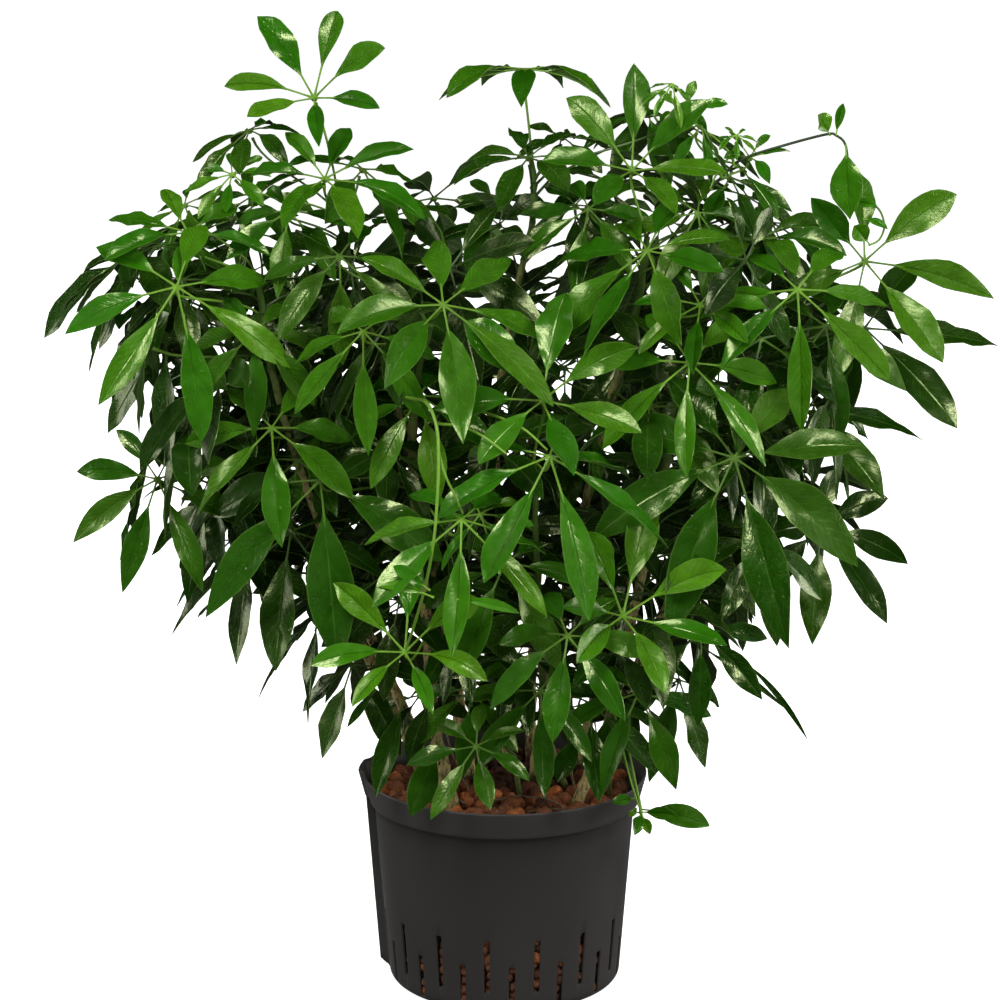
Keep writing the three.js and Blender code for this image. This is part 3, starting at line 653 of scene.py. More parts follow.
class Template:
    """A small shape that is copied into a growing one and bent to its place there."""

    def __init__(self, shape: bmesh.types.BMesh) -> None:
        """Keeps the shape, which is used up."""
        self.mesh = bpy.data.meshes.new("template")
        shape.to_mesh(self.mesh)
        shape.free()

    def copied(self, shape: bmesh.types.BMesh) -> list[bmesh.types.BMVert]:
        """Copies the template into a shape that nothing was deleted from.

        Args:
            shape: the growing shape.

        Returns:
            Its new vertices.
        """
        before = len(shape.verts)
        shape.from_mesh(self.mesh)
        shape.verts.ensure_lookup_table()
        return shape.verts[before:]


@functools.cache
def rod_template(sides: int, steps: int) -> Template:
    """A capped rod from z 0 to z 1 with a radius of 1, in that many sides and steps."""
    shape = new_shape()
    bmesh.ops.create_cone(
        shape, cap_ends=True, segments=sides, radius1=1, radius2=1, depth=1,
        matrix=Matrix.Translation((0, 0, 0.5)),
    )
    upright = [e for e in shape.edges if abs(e.verts[0].co.z - e.verts[1].co.z) > 0.5]
    if steps > 1:
        bmesh.ops.subdivide_edges(shape, edges=upright, cuts=steps - 1, use_grid_fill=True)
    return Template(shape)


@functools.cache
def blade_template(rows: int, columns: int = 4) -> Template:
    """A flat leaf blade: x runs from its base at 0 to its tip at 1, and y across it from -1 to 1."""
    shape = new_shape()
    bmesh.ops.create_grid(
        shape, x_segments=rows, y_segments=columns, size=0.5,
        matrix=Matrix.Translation((0.5, 0, 0)), calc_uvs=False,
    )
    uv = shape.loops.layers.uv["blade"]
    for vert in shape.verts:
        x = vert.co.x
        vert.co.x = x - 0.063 * math.sin(TURN * x)
        vert.co.y = math.copysign(abs(vert.co.y * 2) ** 0.9, vert.co.y)
    for face in shape.faces:
        for loop in face.loops:
            loop[uv].uv = (loop.vert.co.x, (loop.vert.co.y + 1) / 2)
    tip = [v for v in shape.verts if v.co.x > 0.9999]
    bmesh.ops.pointmerge(shape, verts=tip, merge_co=(1, 0, 0))
    bmesh.ops.triangulate(shape, faces=shape.faces[:], quad_method="FIXED")
    return Template(shape)


@functools.cache
def stone_template() -> Template:
    """A round stone with a radius of 1, in a few dozen faces."""
    shape = new_shape()
    bmesh.ops.create_icosphere(shape, subdivisions=2, radius=1)
    return Template(shape)


class Growth:
    """A shape in millimetres that is put together from bent copies of templates."""

    def __init__(self) -> None:
        """Starts with nothing."""
        self.shape = new_shape()

    def _mark(self, verts: Sequence[bmesh.types.BMVert], tone: float, luck: float) -> None:
        """Gives vertices their tone and luck, which the finishes read."""
        layers = self.shape.verts.layers.float
        tones, lucks = layers["tone"], layers["luck"]
        for vert in verts:
            vert[tones] = tone
            vert[lucks] = luck

    def rod(
        self,
        points: Sequence[Vector],
        radii: Sequence[float],
        sides: int,
        tones: float | Sequence[float],
        luck: float,
    ) -> list[bmesh.types.BMVert]:
        """Adds a rod along points.

        Args:
            points: the middle of each of its rings.
            radii: the radius of each ring.
            sides: how many sides it has.
            tones: one tone for all of it, or one for each ring.
            luck: its luck.

        Returns:
            Its vertices.
        """
        steps = len(points) - 1
        verts = rod_template(sides, steps).copied(self.shape)
        frames = turned_frames(points)
        rings = [tones] * len(points) if isinstance(tones, (int, float)) else tones
        self._mark(verts, 0.5, luck)
        layer = self.shape.verts.layers.float["tone"]
        for vert in verts:
            ring = round(vert.co.z * steps)
            u, w = frames[ring]
            vert[layer] = rings[ring]
            vert.co = points[ring] + (u * vert.co.x + w * vert.co.y) * radii[ring]
        return verts

    def stone(self, centre: Vector, matrix: Matrix, luck: float, lumps: float, finish: int = 0) -> None:
        """Adds a stone: the round one turned and squashed by a matrix, with lumps of that share."""
        verts = stone_template().copied(self.shape)
        self._mark(verts, 0.5, luck)
        for vert in verts:
            swell = 1 + lumps * noise.noise(vert.co * 1.6 + centre)
            vert.co = centre + matrix @ (vert.co * swell)
            for face in vert.link_faces:
                face.material_index = finish

    def blade(self, leaflet: "Leaflet", rows: int) -> None:
        """Adds the blade of a leaflet in that many rows, one face thick."""
        verts = blade_template(rows).copied(self.shape)
        self._mark(verts, leaflet.tone, leaflet.luck)
        for vert in verts:
            vert.co = leaflet.blade_point(vert.co.x, vert.co.y)

    def thicken(self, thickness: float, under: int) -> None:
        """Gives every blade its thickness downwards, with another finish on the new faces."""
        self.shape.normal_update()
        made = bmesh.ops.solidify(self.shape, geom=self.shape.faces[:], thickness=thickness)
        for item in made["geom"]:
            if isinstance(item, bmesh.types.BMFace):
                item.material_index = under

    def piece(
        self,
        name: str,
        slot: str,
        finishes: Sequence[bpy.types.Material],
        nodes: Sequence[str],
        sharp: float = 60,
    ) -> bpy.types.Object:
        """Ends the shape as a piece of the object.

        Args:
            name: the piece's name.
            slot: not used.
            finishes: its materials, in the order of their numbers.
            nodes: the solids that it stands for.
            sharp: the angle in degrees past which an edge is sharp.

        Returns:
            The piece.
        """
        bmesh.ops.scale(self.shape, vec=(MM, MM, MM), verts=self.shape.verts)
        mesh = bpy.data.meshes.new(name)
        self.shape.to_mesh(mesh)
        self.shape.free()
        for material in finishes:
            mesh.materials.append(material)
        mesh.shade_smooth()
        mesh.set_sharp_from_angle(angle=math.radians(sharp))
        made = bpy.data.objects.new(name, mesh)
        bpy.context.scene.collection.objects.link(made)
        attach(made, "root")
        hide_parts(*nodes)
        log.info("%s: %d faces", name, len(mesh.polygons))
        return made


# ---- Leaves ----------------------------------------------------------------------------------------


LEAFLET_MOVES = (
    (0, 0, 1), (0, 7, 1), (0, -7, 1), (9, 0, 1), (-9, 0, 1), (0, 14, 1), (0, -14, 1), (9, 9, 0.92),
    (-9, -9, 0.92), (9, -9, 0.92), (-9, 9, 0.92), (0, 24, 0.92), (0, -24, 0.92), (14, 16, 0.85),
    (-14, -16, 0.85), (0, 0, 0.75), (0, 35, 0.8), (0, -35, 0.8), (0, 14, 0.6), (0, -14, 0.6),
    (0, 0, 0.45), (0, 40, 0.4), (0, -40, 0.4), (0, 0, 0.3),
)  # swing and lift in degrees, share of the length
PETIOLE_MOVES = (0, 14, -14, 28, -28, 42, -42, 60, -60)  # sideways bend in millimetres


@dataclass(frozen=True)
class LeafRules:
    """The proportions that every leaf shares with the solids."""

    hub_depth: float = 2.4
    petiole_reach: float = 0.3
    petiole_radius: float = 1.7
    sag: float = 0.12
    ring_gap: float = 0.35
    inner_share: float = 0.7
    shingle_tilt: float = 4
    least_drop: float = 45
    drop_weight: float = 1.5


RULES = LeafRules()


@dataclass
class Leaflet:
    """One leaflet: its stalk runs out from the hub and its blade sags under its own weight."""

    hub: Vector
    way: Vector
    side: Vector
    length: float
    tone: float = 0.5
    luck: float = 0.5
    stalk: float = 0.22
    width: float = 0.38
    widest: float = 0.54
    tip: float = 2.3
    fold: float = 0.34
    ripple: float = 0.05
    waves: float = 2.2
    phase: float = 0.0
    twist: float = 0.0
    arch: float = 0.0
    sweep: float = 0.0

    def centre(self, s: float) -> Vector:
        """The middle of the leaflet at a share of its length."""
        u = max(0.0, (s - self.stalk) / (1 - self.stalk))
        drop = self.length * (RULES.sag * s**3 + self.arch * u * u)
        return self.hub + self.way * (self.length * s) - UP * drop + self.side * (
            self.length * self.sweep * u * u
        )

    def axes(self, s: float) -> tuple[Vector, Vector]:
        """The leaflet's side and the way its face looks at a share of its length."""
        u = max(0.0, (s - self.stalk) / (1 - self.stalk))
        along = (self.centre(s + 0.01) - self.centre(s - 0.01)).normalized()
        side = (self.side - along * self.side.dot(along)).normalized()
        face = along.cross(side)
        turn = self.twist * (u - 0.15)
        return (
            side * math.cos(turn) + face * math.sin(turn),
            face * math.cos(turn) - side * math.sin(turn),
        )

    def half_width(self, u: float) -> float:
        """Half the blade's width at a share of the blade."""
        if u < self.widest:
            share = 0.05 + 0.95 * math.sin(math.pi / 2 * u / self.widest) ** 1.15
        else:
            t = (u - self.widest) / (1 - self.widest)
            share = (1 - t**self.tip) * (1 - 0.14 * t**3)
        return self.length * self.width / 2 * share

    def blade_point(self, u: float, a: float) -> Vector:
        """The point of the blade at a share of its length and a share across it, -1 to 1."""
        s = lerp(self.stalk, 1.0, u)
        side, face = self.axes(s)
        half = self.half_width(u)
        edge = abs(a)
        fold = self.fold * (1.15 - 0.5 * u)
        wave = math.sin(TURN * (self.waves * u + self.phase + (0.37 if a > 0 else 0.0)))
        lift = half * (fold * (edge - 0.42 * edge * edge) + self.ripple * edge * edge * wave)
        return self.centre(s) + side * (a * half * (1 - 0.12 * fold)) + face * lift

    def strip(self, margin: float) -> tuple[list[Vector], list[tuple[int, ...]]]:
        """The points and faces of a coarse strip that the leaflet is tried as."""
        points: list[Vector] = []
        for s, half in ((0.12, 1.5), (self.stalk, 1.6), (0.44, 0.0), (0.76, 0.0)):
            side, face = self.axes(s)
            reach = (half or self.half_width((s - self.stalk) / (1 - self.stalk))) + margin
            middle = self.centre(s)
            points += [middle + side * reach + face * margin, middle - side * reach + face * margin]
            points.append(middle - face * (1.0 + margin))
        points.append(self.centre(1.0) + self.way * margin)
        faces = [
            (row * 3 + i, row * 3 + (i + 1) % 3, row * 3 + 3 + (i + 1) % 3, row * 3 + 3 + i)
            for row in range(3) for i in range(3)
        ]
        faces += [(9, 10, 12), (10, 11, 12), (11, 9, 12)]
        return points, faces


@dataclass(eq=False)
class Leaf:
    """A compound leaf: a petiole from its stem, and leaflets in a ring round its hub."""

    stem: "Stem"
    hub: Vector
    root: Vector
    bearing: float
    lean: float
    rise: float
    spin: float
    count: int
    length: float
    bend: float = 0.0
    tone: float = 0.5
    fine: bool = True
    leaflets: list[Leaflet] = field(default_factory=list)

    def axes(self) -> tuple[Vector, Vector, Vector]:
        """The way the leaf's face looks, its downhill way and the way across."""
        out = bearing(self.bearing)
        lean = math.radians(self.lean)
        face = out * math.sin(lean) + UP * math.cos(lean)
        downhill = out * math.cos(lean) - UP * math.sin(lean)
        return face, downhill, face.cross(downhill)

    def leaflet(self, k: int, move: tuple[float, float, float]) -> Leaflet:
        """The leaflet of that number after a move of swing, lift and share of length."""
        swing, lift, scale = move
        face, downhill, across = self.axes()
        place = (k - (self.count - 1) / 2) * TURN / (self.count + RULES.ring_gap)
        turn = place + math.radians(self.spin + swing)
        tilt = RULES.shingle_tilt if k % 2 == 0 else -RULES.shingle_tilt
        rise = math.radians(self.rise + lift + tilt)
        radial = downhill * math.cos(turn) + across * math.sin(turn)
        size = 1 - (1 - RULES.inner_share) * (1 - math.cos(place)) / 2
        return Leaflet(
            hub=self.hub,
            way=radial * math.cos(rise) + face * math.sin(rise),
            side=face.cross(radial),
            length=self.length * size * scale,
        )

    def petiole(self, steps: int) -> list[Vector]:
        """The petiole's points, from its stem to just under its hub."""
        face = self.axes()[0]
        top = self.hub - face * (RULES.hub_depth * 3)
        reach = (top - self.root).length
        aside = (top - self.root).cross(UP).normalized() * self.bend
        rising = self.root + UP * (reach * RULES.petiole_reach) + aside
        arriving = top - face * (reach * RULES.petiole_reach) + aside
        return bezier(self.root, rising, arriving, top, steps)


@dataclass(frozen=True)
class Twig:
    """A thin shoot from a stem, with single leaves."""

    radius: float
    tone: float
    path: tuple[Place, ...]
    blades: tuple[BladeRow, ...] = ()


@dataclass(frozen=True)
class Stem:
    """A woody stem: its path, its thickness and the leaves that the front shows on it.

    A leaf is its hub's x, y and z; the bearing its face looks to and its lean from level; the rise of
    its leaflets above that face's plane; its turn about the hub; the number of its leaflets; the
    length of the longest; and its tone, from old and dark at 0 to young and bright at 1, also painted
    shade and light: low where the crown shades a leaf, high where it is lit. A blade is a single leaf:
    its start, its way, its length, its width as a share of that and its tone.
    """

    name: str
    foot_radius: float
    tip_radius: float
    extra: int
    path: tuple[Place, ...]
    leaves: tuple[LeafRow, ...] = ()
    blades: tuple[BladeRow, ...] = ()
    twig: Twig | None = None

    def points(self) -> list[Vector]:
        """The path's points."""
        return vectors(self.path)

    def root_of(self, hub: Vector) -> Vector:
        """The point of the stem or its twig that a leaf's petiole grows from."""
        best, least = hub, math.inf
        for points in [self.points()] + ([vectors(self.twig.path)] if self.twig else []):
            t = 0.3
            while t <= 1:
                spot = along_path(points, t)
                short = max(0.0, RULES.least_drop - (hub.z - spot.z))
                miss = (spot - hub).length + short * RULES.drop_weight
                if miss < least:
                    best, least = spot, miss
                t += 0.01
        return best

    def shown_leaves(self, rows: Sequence[LeafRow]) -> list[Leaf]:
        """The leaves of a table's rows, on this stem."""
        found = []
        for x, y, z, look, lean, rise, spin, count, length, tone in rows:
            hub = Vector((x, y, z))
            leaf = Leaf(self, hub, self.root_of(hub), look, lean, rise, spin, count, length)
            leaf.tone = tone
            found.append(leaf)
        return found


STEMS = (
    Stem(
        "front_left_stem", foot_radius=7.5, tip_radius=3, extra=2,
        path=(
            (-38, -62, 130), (-52, -56, 202), (-63, -52, 250), (-64, -54, 310), (-72, -60, 400),
            (-78, -66, 490), (-74, -84, 560), (-62, -106, 610),
        ),
        leaves=(
            (-50, -180, 642, 30, 42, 0, 10, 8, 115, 0.55),
            (-115, -175, 619, 0, 45, -30, 0, 7, 85, 0.7),
            (-35, -235, 477, 15, 35, -20, -10, 7, 100, 0.8),
            (-82, -205, 357, -10, 50, 20, 180, 7, 94, 0.95),
            (-152, -155, 490, -5, 45, -25, -20, 6, 135, 0.3),
            (-136, -115, 670, 10, 50, -20, 0, 7, 80, 0.3),
        ),
    ),
    Stem(
        "left_stem", foot_radius=5, tip_radius=2.6, extra=1,
        path=(
            (-60, -11, 130), (-70, -14, 202), (-100, -20, 280), (-145, -40, 390), (-178, -60, 490),
            (-198, -75, 580), (-205, -80, 640),
        ),
        leaves=(
            (-268, -145, 650, 15, 55, -18, 10, 7, 116, 0.75),
            (-262, -95, 686, 20, 25, 5, -25, 7, 85, 0.6),
            (-192, -145, 532, 10, 50, -15, 0, 7, 90, 0.5),
            (-180, -90, 430, -20, 35, -25, 0, 7, 110, 0.12),
            (-160, -60, 350, -60, 40, -20, 0, 6, 85, 0.05),
            (-130, -80, 310, -30, 45, -25, 20, 6, 80, 0.1),
        ),
    ),
    Stem(
        "far_left_stem", foot_radius=5, tip_radius=2.6, extra=4,
        path=(
            (-66, 38, 130), (-84, 38, 202), (-125, 40, 290), (-185, 35, 400), (-225, 25, 500),
            (-240, 20, 580),
        ),
        leaves=(
            (-310, -20, 660, -70, 30, -15, 0, 6, 112, 0.12),
            (-285, -60, 595, -60, 50, -20, 0, 6, 105, 0.25),
            (-292, -90, 475, 10, 65, -8, 0, 8, 88, 0.4),
        ),
    ),
    Stem(
        "top_left_stem", foot_radius=5.5, tip_radius=2.6, extra=4,
        path=(
            (-26, 18, 130), (-33, 18, 202), (-52, 22, 320), (-85, 15, 480), (-120, 0, 600),
            (-140, -15, 680),
        ),
        leaves=(
            (-160, -20, 787, -15, 45, 30, 170, 7, 96, 0.7),
            (-150, -60, 725, 10, 25, 15, 60, 7, 92, 0.6),
            (-120, -10, 725, 60, 30, -10, 0, 6, 92, 0.4),
        ),
    ),
    Stem(
        "front_green_stem", foot_radius=3.4, tip_radius=2.4, extra=0,
        path=(
            (70, 5, 130), (44, -5, 202), (34, -20, 245), (30, -70, 350), (26, -110, 430),
            (24, -135, 500),
        ),
        leaves=(
            (30, -200, 567, -10, 55, 15, 175, 7, 106, 0.6),
            (36, -230, 528, 10, 35, -25, 15, 7, 118, 0.75),
            (51, -225, 377, -20, 50, -10, 0, 7, 82, 0.5),
            (0, -165, 422, -10, 40, -20, 10, 6, 90, 0.4),
        ),
    ),
    Stem(
        "low_front_shoot", foot_radius=2.6, tip_radius=1.8, extra=0,
        path=((14, -28, 130), (11, -35, 202), (0, -60, 232)),
        leaves=((-24, -150, 259, -25, 45, 0, -20, 7, 64, 0.35),),
    ),
    Stem(
        "front_right_stem", foot_radius=5.5, tip_radius=2.8, extra=1,
        path=(
            (42, -54, 130), (74, -46, 202), (92, -46, 255), (108, -62, 340), (124, -88, 430),
            (138, -104, 510), (144, -112, 570),
        ),
        leaves=(
            (96, -210, 389, 15, 50, 25, 160, 7, 108, 0.65),
            (187, -180, 515, 0, 60, -12, -5, 8, 138, 0.25),
            (151, -155, 589, 0, 60, -20, -5, 7, 98, 0.8),
            (165, -120, 350, 0, 60, -10, 0, 7, 72, 0.2),
            (112, -145, 304, 5, 50, -25, 0, 6, 80, 0.4),
            (150, -60, 290, 30, 50, -35, 0, 6, 78, 0.15),
        ),
    ),
    Stem(
        "right_stem", foot_radius=5, tip_radius=2.6, extra=3,
        path=(
            (72, 13, 130), (88, 10, 202), (118, 0, 290), (172, -12, 410), (208, -30, 520),
            (228, -45, 600),
        ),
        leaves=(
            (240, -130, 645, -5, 55, -25, 5, 7, 106, 0.65),
            (305, -20, 648, 10, 62, 8, 79, 7, 112, 0.5),
            (310, 20, 582, 0, 35, -5, 65, 6, 122, 0.15),
            (255, -60, 527, 0, 35, -5, 65, 6, 104, 0.2),
            (270, -40, 420, 15, 65, 5, 10, 8, 88, 0.12),
        ),
    ),
    Stem(
        "top_right_stem", foot_radius=5.5, tip_radius=2.6, extra=2,
        path=(
            (24, 14, 130), (29, 13, 202), (52, 8, 340), (84, -18, 500), (110, -55, 610),
            (118, -85, 680),
        ),
        leaves=(
            (116, -145, 680, -40, 40, -5, -20, 8, 98, 0.55),
            (105, -80, 735, 5, 45, 30, 175, 7, 104, 0.55),
            (161, -120, 630, -10, 50, 10, 0, 7, 68, 0.75),
            (210, -40, 670, 20, 20, 20, 0, 7, 88, 0.35),
            (150, -20, 775, 10, 40, 35, 20, 5, 45, 0.85),
            (205, -40, 740, 15, 35, 35, 0, 5, 42, 0.65),
        ),
        twig=Twig(
            radius=1.15, tone=0.0,
            path=(
                (112, -62, 632), (150, -60, 690), (184, -58, 730), (200, -56, 742), (232, -53, 752),
                (268, -50, 761), (276, -50, 760), (284, -50, 752), (287, -50, 728), (287, -50, 707),
                (300, -50, 706), (313, -50, 698), (318, -50, 684), (314, -50, 672), (305, -50, 667),
            ),
            blades=(
                ((271, -50, 760), (-0.45, -0.3, 0.8), 25, 0.72, 0.85),
                ((276, -50, 760), (0.10, -0.2, 0.95), 33, 0.26, 0.9),
                ((284, -50, 753), (0.06, -0.16, -1.0), 52, 0.6, 0.8),
                ((286, -50, 704), (0.95, -0.2, 0.05), 26, 0.34, 0.95),
                ((300, -50, 690), (0.75, -0.3, -0.1), 22, 0.34, 0.95),
                ((306, -50, 668), (-0.55, -0.3, 0.75), 27, 0.66, 0.85),
            ),
        ),
    ),
    Stem(
        "centre_stem", foot_radius=4.5, tip_radius=2.2, extra=4,
        path=(
            (2, 44, 130), (2, 48, 202), (0, 58, 340), (-8, 60, 480), (6, 42, 590), (24, 20, 680),
            (22, 30, 740),
        ),
        leaves=(
            (20, -10, 735, -20, 20, 10, 0, 7, 72, 0.2),
            (17, 40, 803, 180, 10, 0, 180, 7, 90, 0.5),
            (-5, 60, 665, -30, 45, 30, 30, 6, 64, 0.1),
        ),
    ),
    Stem(
        "back_left_stem", foot_radius=5, tip_radius=2.6, extra=7,
        path=((-32, 74, 130), (-40, 84, 202), (-65, 115, 320), (-105, 150, 460), (-130, 165, 580)),
    ),
    Stem(
        "back_stem", foot_radius=5, tip_radius=2.6, extra=7,
        path=((22, 82, 130), (24, 94, 202), (26, 140, 330), (24, 180, 470), (26, 195, 590)),
    ),
    Stem(
        "back_right_stem", foot_radius=5, tip_radius=2.6, extra=7,
        path=((62, 54, 130), (73, 66, 202), (104, 92, 320), (152, 122, 460), (182, 130, 580)),
    ),
    Stem(
        "trailing_shoot", foot_radius=1.8, tip_radius=1.4, extra=0,
        path=(
            (86, -18, 140), (95, -32, 205), (103, -48, 213), (110, -68, 206), (116, -84, 189),
            (118, -90, 172),
        ),
        blades=(
            ((116, -86, 182), (0.95, -0.25, -0.02), 62, 0.34, 0.75),
            ((117, -88, 180), (0.8, -0.5, 0.16), 36, 0.34, 0.7),
            ((117, -88, 179), (-0.2, -0.9, -0.25), 24, 0.5, 0.8),
            ((113, -80, 190), (-0.75, -0.5, 0.1), 26, 0.4, 0.8),
            ((115, -89, 180), (-0.45, -0.75, 0.35), 19, 0.5, 0.95),
            ((118, -90, 178), (0.35, -0.8, -0.45), 20, 0.46, 0.95),
        ),
        twig=Twig(
            radius=1.0, tone=0.8,
            path=((92, -52, 292), (101, -66, 258), (109, -82, 222), (115, -90, 194), (118, -90, 178)),
            blades=(((101, -66, 258), (-0.6, -0.7, -0.4), 30, 0.4, 0.7),),
        ),
    ),
)

FINE_LEAVES: dict[str, tuple[LeafRow, ...]] = {
    "top_left_stem": (
        (-229, -30, 724, -30, 40, 0, 0, 8, 46, 0.8), (-217, 20, 754, -60, 20, -10, 0, 7, 62, 0.2),
        (-180, -70, 700, -10, 45, -15, 0, 7, 66, 0.5),
        (-213, 10, 700, -20, 40, -10, 0, 7, 62, 0.3),
    ),
    "far_left_stem": (
        (-321, -30, 653, -90, 25, -12, 0, 7, 70, 0.1), (-301, -20, 615, -90, 40, -18, 0, 7, 76, 0.08),
        (-309, 60, 599, -100, 40, -25, 0, 6, 96, 0.1), (-293, 20, 567, -80, 55, -30, 0, 6, 90, 0.1),
        (-293, 60, 523, -90, 50, -30, 0, 6, 85, 0.1), (-300, 40, 650, -80, 30, -20, 0, 7, 88, 0.15),
        (-255, 0, 440, -40, 50, -20, 0, 7, 84, 0.12), (-238, 10, 396, -30, 50, -25, 0, 7, 80, 0.08),
    ),
    "left_stem": (
        (-205, -130, 610, 0, 50, -20, 0, 7, 74, 0.4), (-235, -60, 470, -50, 50, -25, 0, 6, 92, 0.15),
        (-272, 0, 693, -40, 35, -10, 0, 7, 55, 0.45), (-216, 20, 665, -20, 40, -15, 0, 7, 70, 0.15),
    ),
    "front_left_stem": (
        (-90, -60, 361, -20, 45, -15, 0, 7, 80, 0.1), (-29, -110, 296, -15, 50, -20, 0, 7, 66, 0.4),
        (-70, -150, 560, 0, 40, -25, 15, 7, 80, 0.6), (-74, -20, 264, -20, 50, -20, 0, 6, 56, 0.1),
    ),
    "centre_stem": (
        (49, 20, 748, 20, 20, -5, 0, 6, 50, 0.2), (-7, 60, 687, 0, 35, 0, 0, 6, 50, 0.1),
        (-8, 20, 517, -20, 40, -20, 0, 7, 80, 0.06), (-15, 10, 466, 10, 45, -20, 0, 6, 78, 0.08),
        (-21, 0, 424, -10, 45, -20, 0, 6, 74, 0.1), (52, 30, 545, 0, 45, -20, 0, 7, 80, 0.08),
    ),
    "front_green_stem": (
        (30, -130, 302, 5, 50, -20, 0, 7, 78, 0.3), (-20, -190, 470, -20, 45, -10, 0, 6, 52, 0.85),
    ),
    "front_right_stem": (
        (110, -190, 470, 10, 45, 0, 20, 7, 74, 0.7),
        (215, -110, 430, 40, 50, -20, 0, 7, 84, 0.2),
    ),
    "top_right_stem": (
        (138, -70, 806, 20, 25, -35, 0, 7, 34, 0.85), (162, -75, 772, 60, 30, -30, 0, 6, 48, 0.5),
        (193, -50, 760, 0, 30, -10, 0, 7, 22, 0.95), (195, -40, 734, 80, 30, -15, 0, 6, 58, 0.4),
        (70, -60, 700, -20, 40, -10, 0, 7, 70, 0.45), (160, -80, 700, 20, 45, -15, 0, 7, 76, 0.5),
        (190, -20, 720, 30, 30, -15, 0, 7, 60, 0.35), (206, 0, 700, 50, 35, -15, 0, 7, 70, 0.25),
        (228, 10, 676, 40, 35, -15, 0, 7, 72, 0.2), (60, 10, 691, 0, 40, -10, 0, 7, 62, 0.25),
        (85, 40, 708, 10, 35, -15, 0, 6, 60, 0.15),
    ),
    "right_stem": (
        (270, -60, 600, 20, 50, -20, 0, 7, 84, 0.3), (120, -20, 264, 25, 50, -25, 0, 6, 58, 0.1),
    ),
}  # leaves that only the render has, each on its stem

FINE_BLADES: dict[str, tuple[BladeRow, ...]] = {
    "front_left_stem": (
        ((-55, -118, 255), (-0.35, -0.2, -0.9), 64, 0.42, 0.3),
        ((-57, -268, 421), (-0.89, -0.05, 0.40), 48, 0.20, 1.0),
        ((-46, -268, 420), (0.98, -0.05, -0.05), 58, 0.15, 1.0),
        ((-60, -268, 427), (-0.78, -0.05, 0.60), 38, 0.30, 0.9),
        ((-85, -112, 290), (-0.30, 0.02, -0.95), 84, 0.26, 0.15),
        ((-62, -112, 290), (-0.40, 0.02, -0.90), 54, 0.36, 0.1),
        ((-109, -112, 297), (-0.65, -0.1, -0.75), 36, 0.22, 0.1),
    ),
    "front_right_stem": (
        ((198, -60, 313), (0.72, -0.05, -0.60), 86, 0.065, 0.1),
        ((159, -60, 326), (0.80, -0.05, -0.50), 96, 0.06, 0.05),
        ((88, -112, 279), (-0.10, -0.05, -0.99), 52, 0.46, 0.35),
        ((66, -108, 258), (-0.50, -0.05, -0.85), 42, 0.48, 0.2),
    ),
}  # single leaves that only the render has

FINE_TWIGS: dict[str, tuple[Twig, ...]] = {
    "trailing_shoot": (
        Twig(
            radius=0.85, tone=0.95,
            path=((86, -55, 290), (97, -72, 252), (106, -86, 216), (114, -92, 190), (118, -91, 178)),
        ),
    ),
    "front_left_stem": (
        Twig(
            radius=1.5, tone=0.85,
            path=(
                (-80, -100, 545), (-89, -150, 560), (-77, -190, 567), (-63, -225, 571),
                (-55, -242, 557), (-53, -250, 533), (-54, -256, 500), (-57, -256, 465),
                (-64, -246, 425), (-74, -226, 385), (-81, -209, 361),
            ),
        ),
        Twig(
            radius=1.1, tone=0.85,
            path=((-54, -246, 540), (-48, -250, 518), (-40, -248, 500), (-34, -239, 483)),
        ),
    ),
    "front_green_stem": (
        Twig(
            radius=1.2, tone=0.9,
            path=(
                (-60, -150, 540), (-53, -200, 548), (-35, -222, 551), (-17, -238, 546), (1, -246, 534),
            ),
        ),
        Twig(
            radius=1.2, tone=0.9,
            path=(
                (-40, -120, 545), (-29, -160, 552), (-4, -200, 553), (16, -222, 548), (34, -229, 533),
            ),
        ),
    ),
}  # stalks that only the render has


# ---- The rest of the crown -------------------------------------------------------------------------


@dataclass(frozen=True)
class Crown:
    """The egg-shaped space that the solids' unseen leaves fill."""

    centre: float = 500
    half_width: float = 335
    half_depth: float = 290
    half_height: float = 235
    front: float = -40

    def holds(self, hub: Vector) -> bool:
        """Whether a hub is inside the space, behind its front."""
        x, y, z = hub.x / self.half_width, hub.y / self.half_depth, hub.z - self.centre
        return x * x + y * y + (z / self.half_height) ** 2 < 1 and hub.y > self.front


CAMERA_PLACE = Vector((-4, -3301, 1257.6))


def seen_at(point: Vector) -> Vector:
    """The point of the upright plane through the origin that a point covers for the camera."""
    return CAMERA_PLACE.lerp(point, CAMERA_PLACE.y / (CAMERA_PLACE.y - point.y))


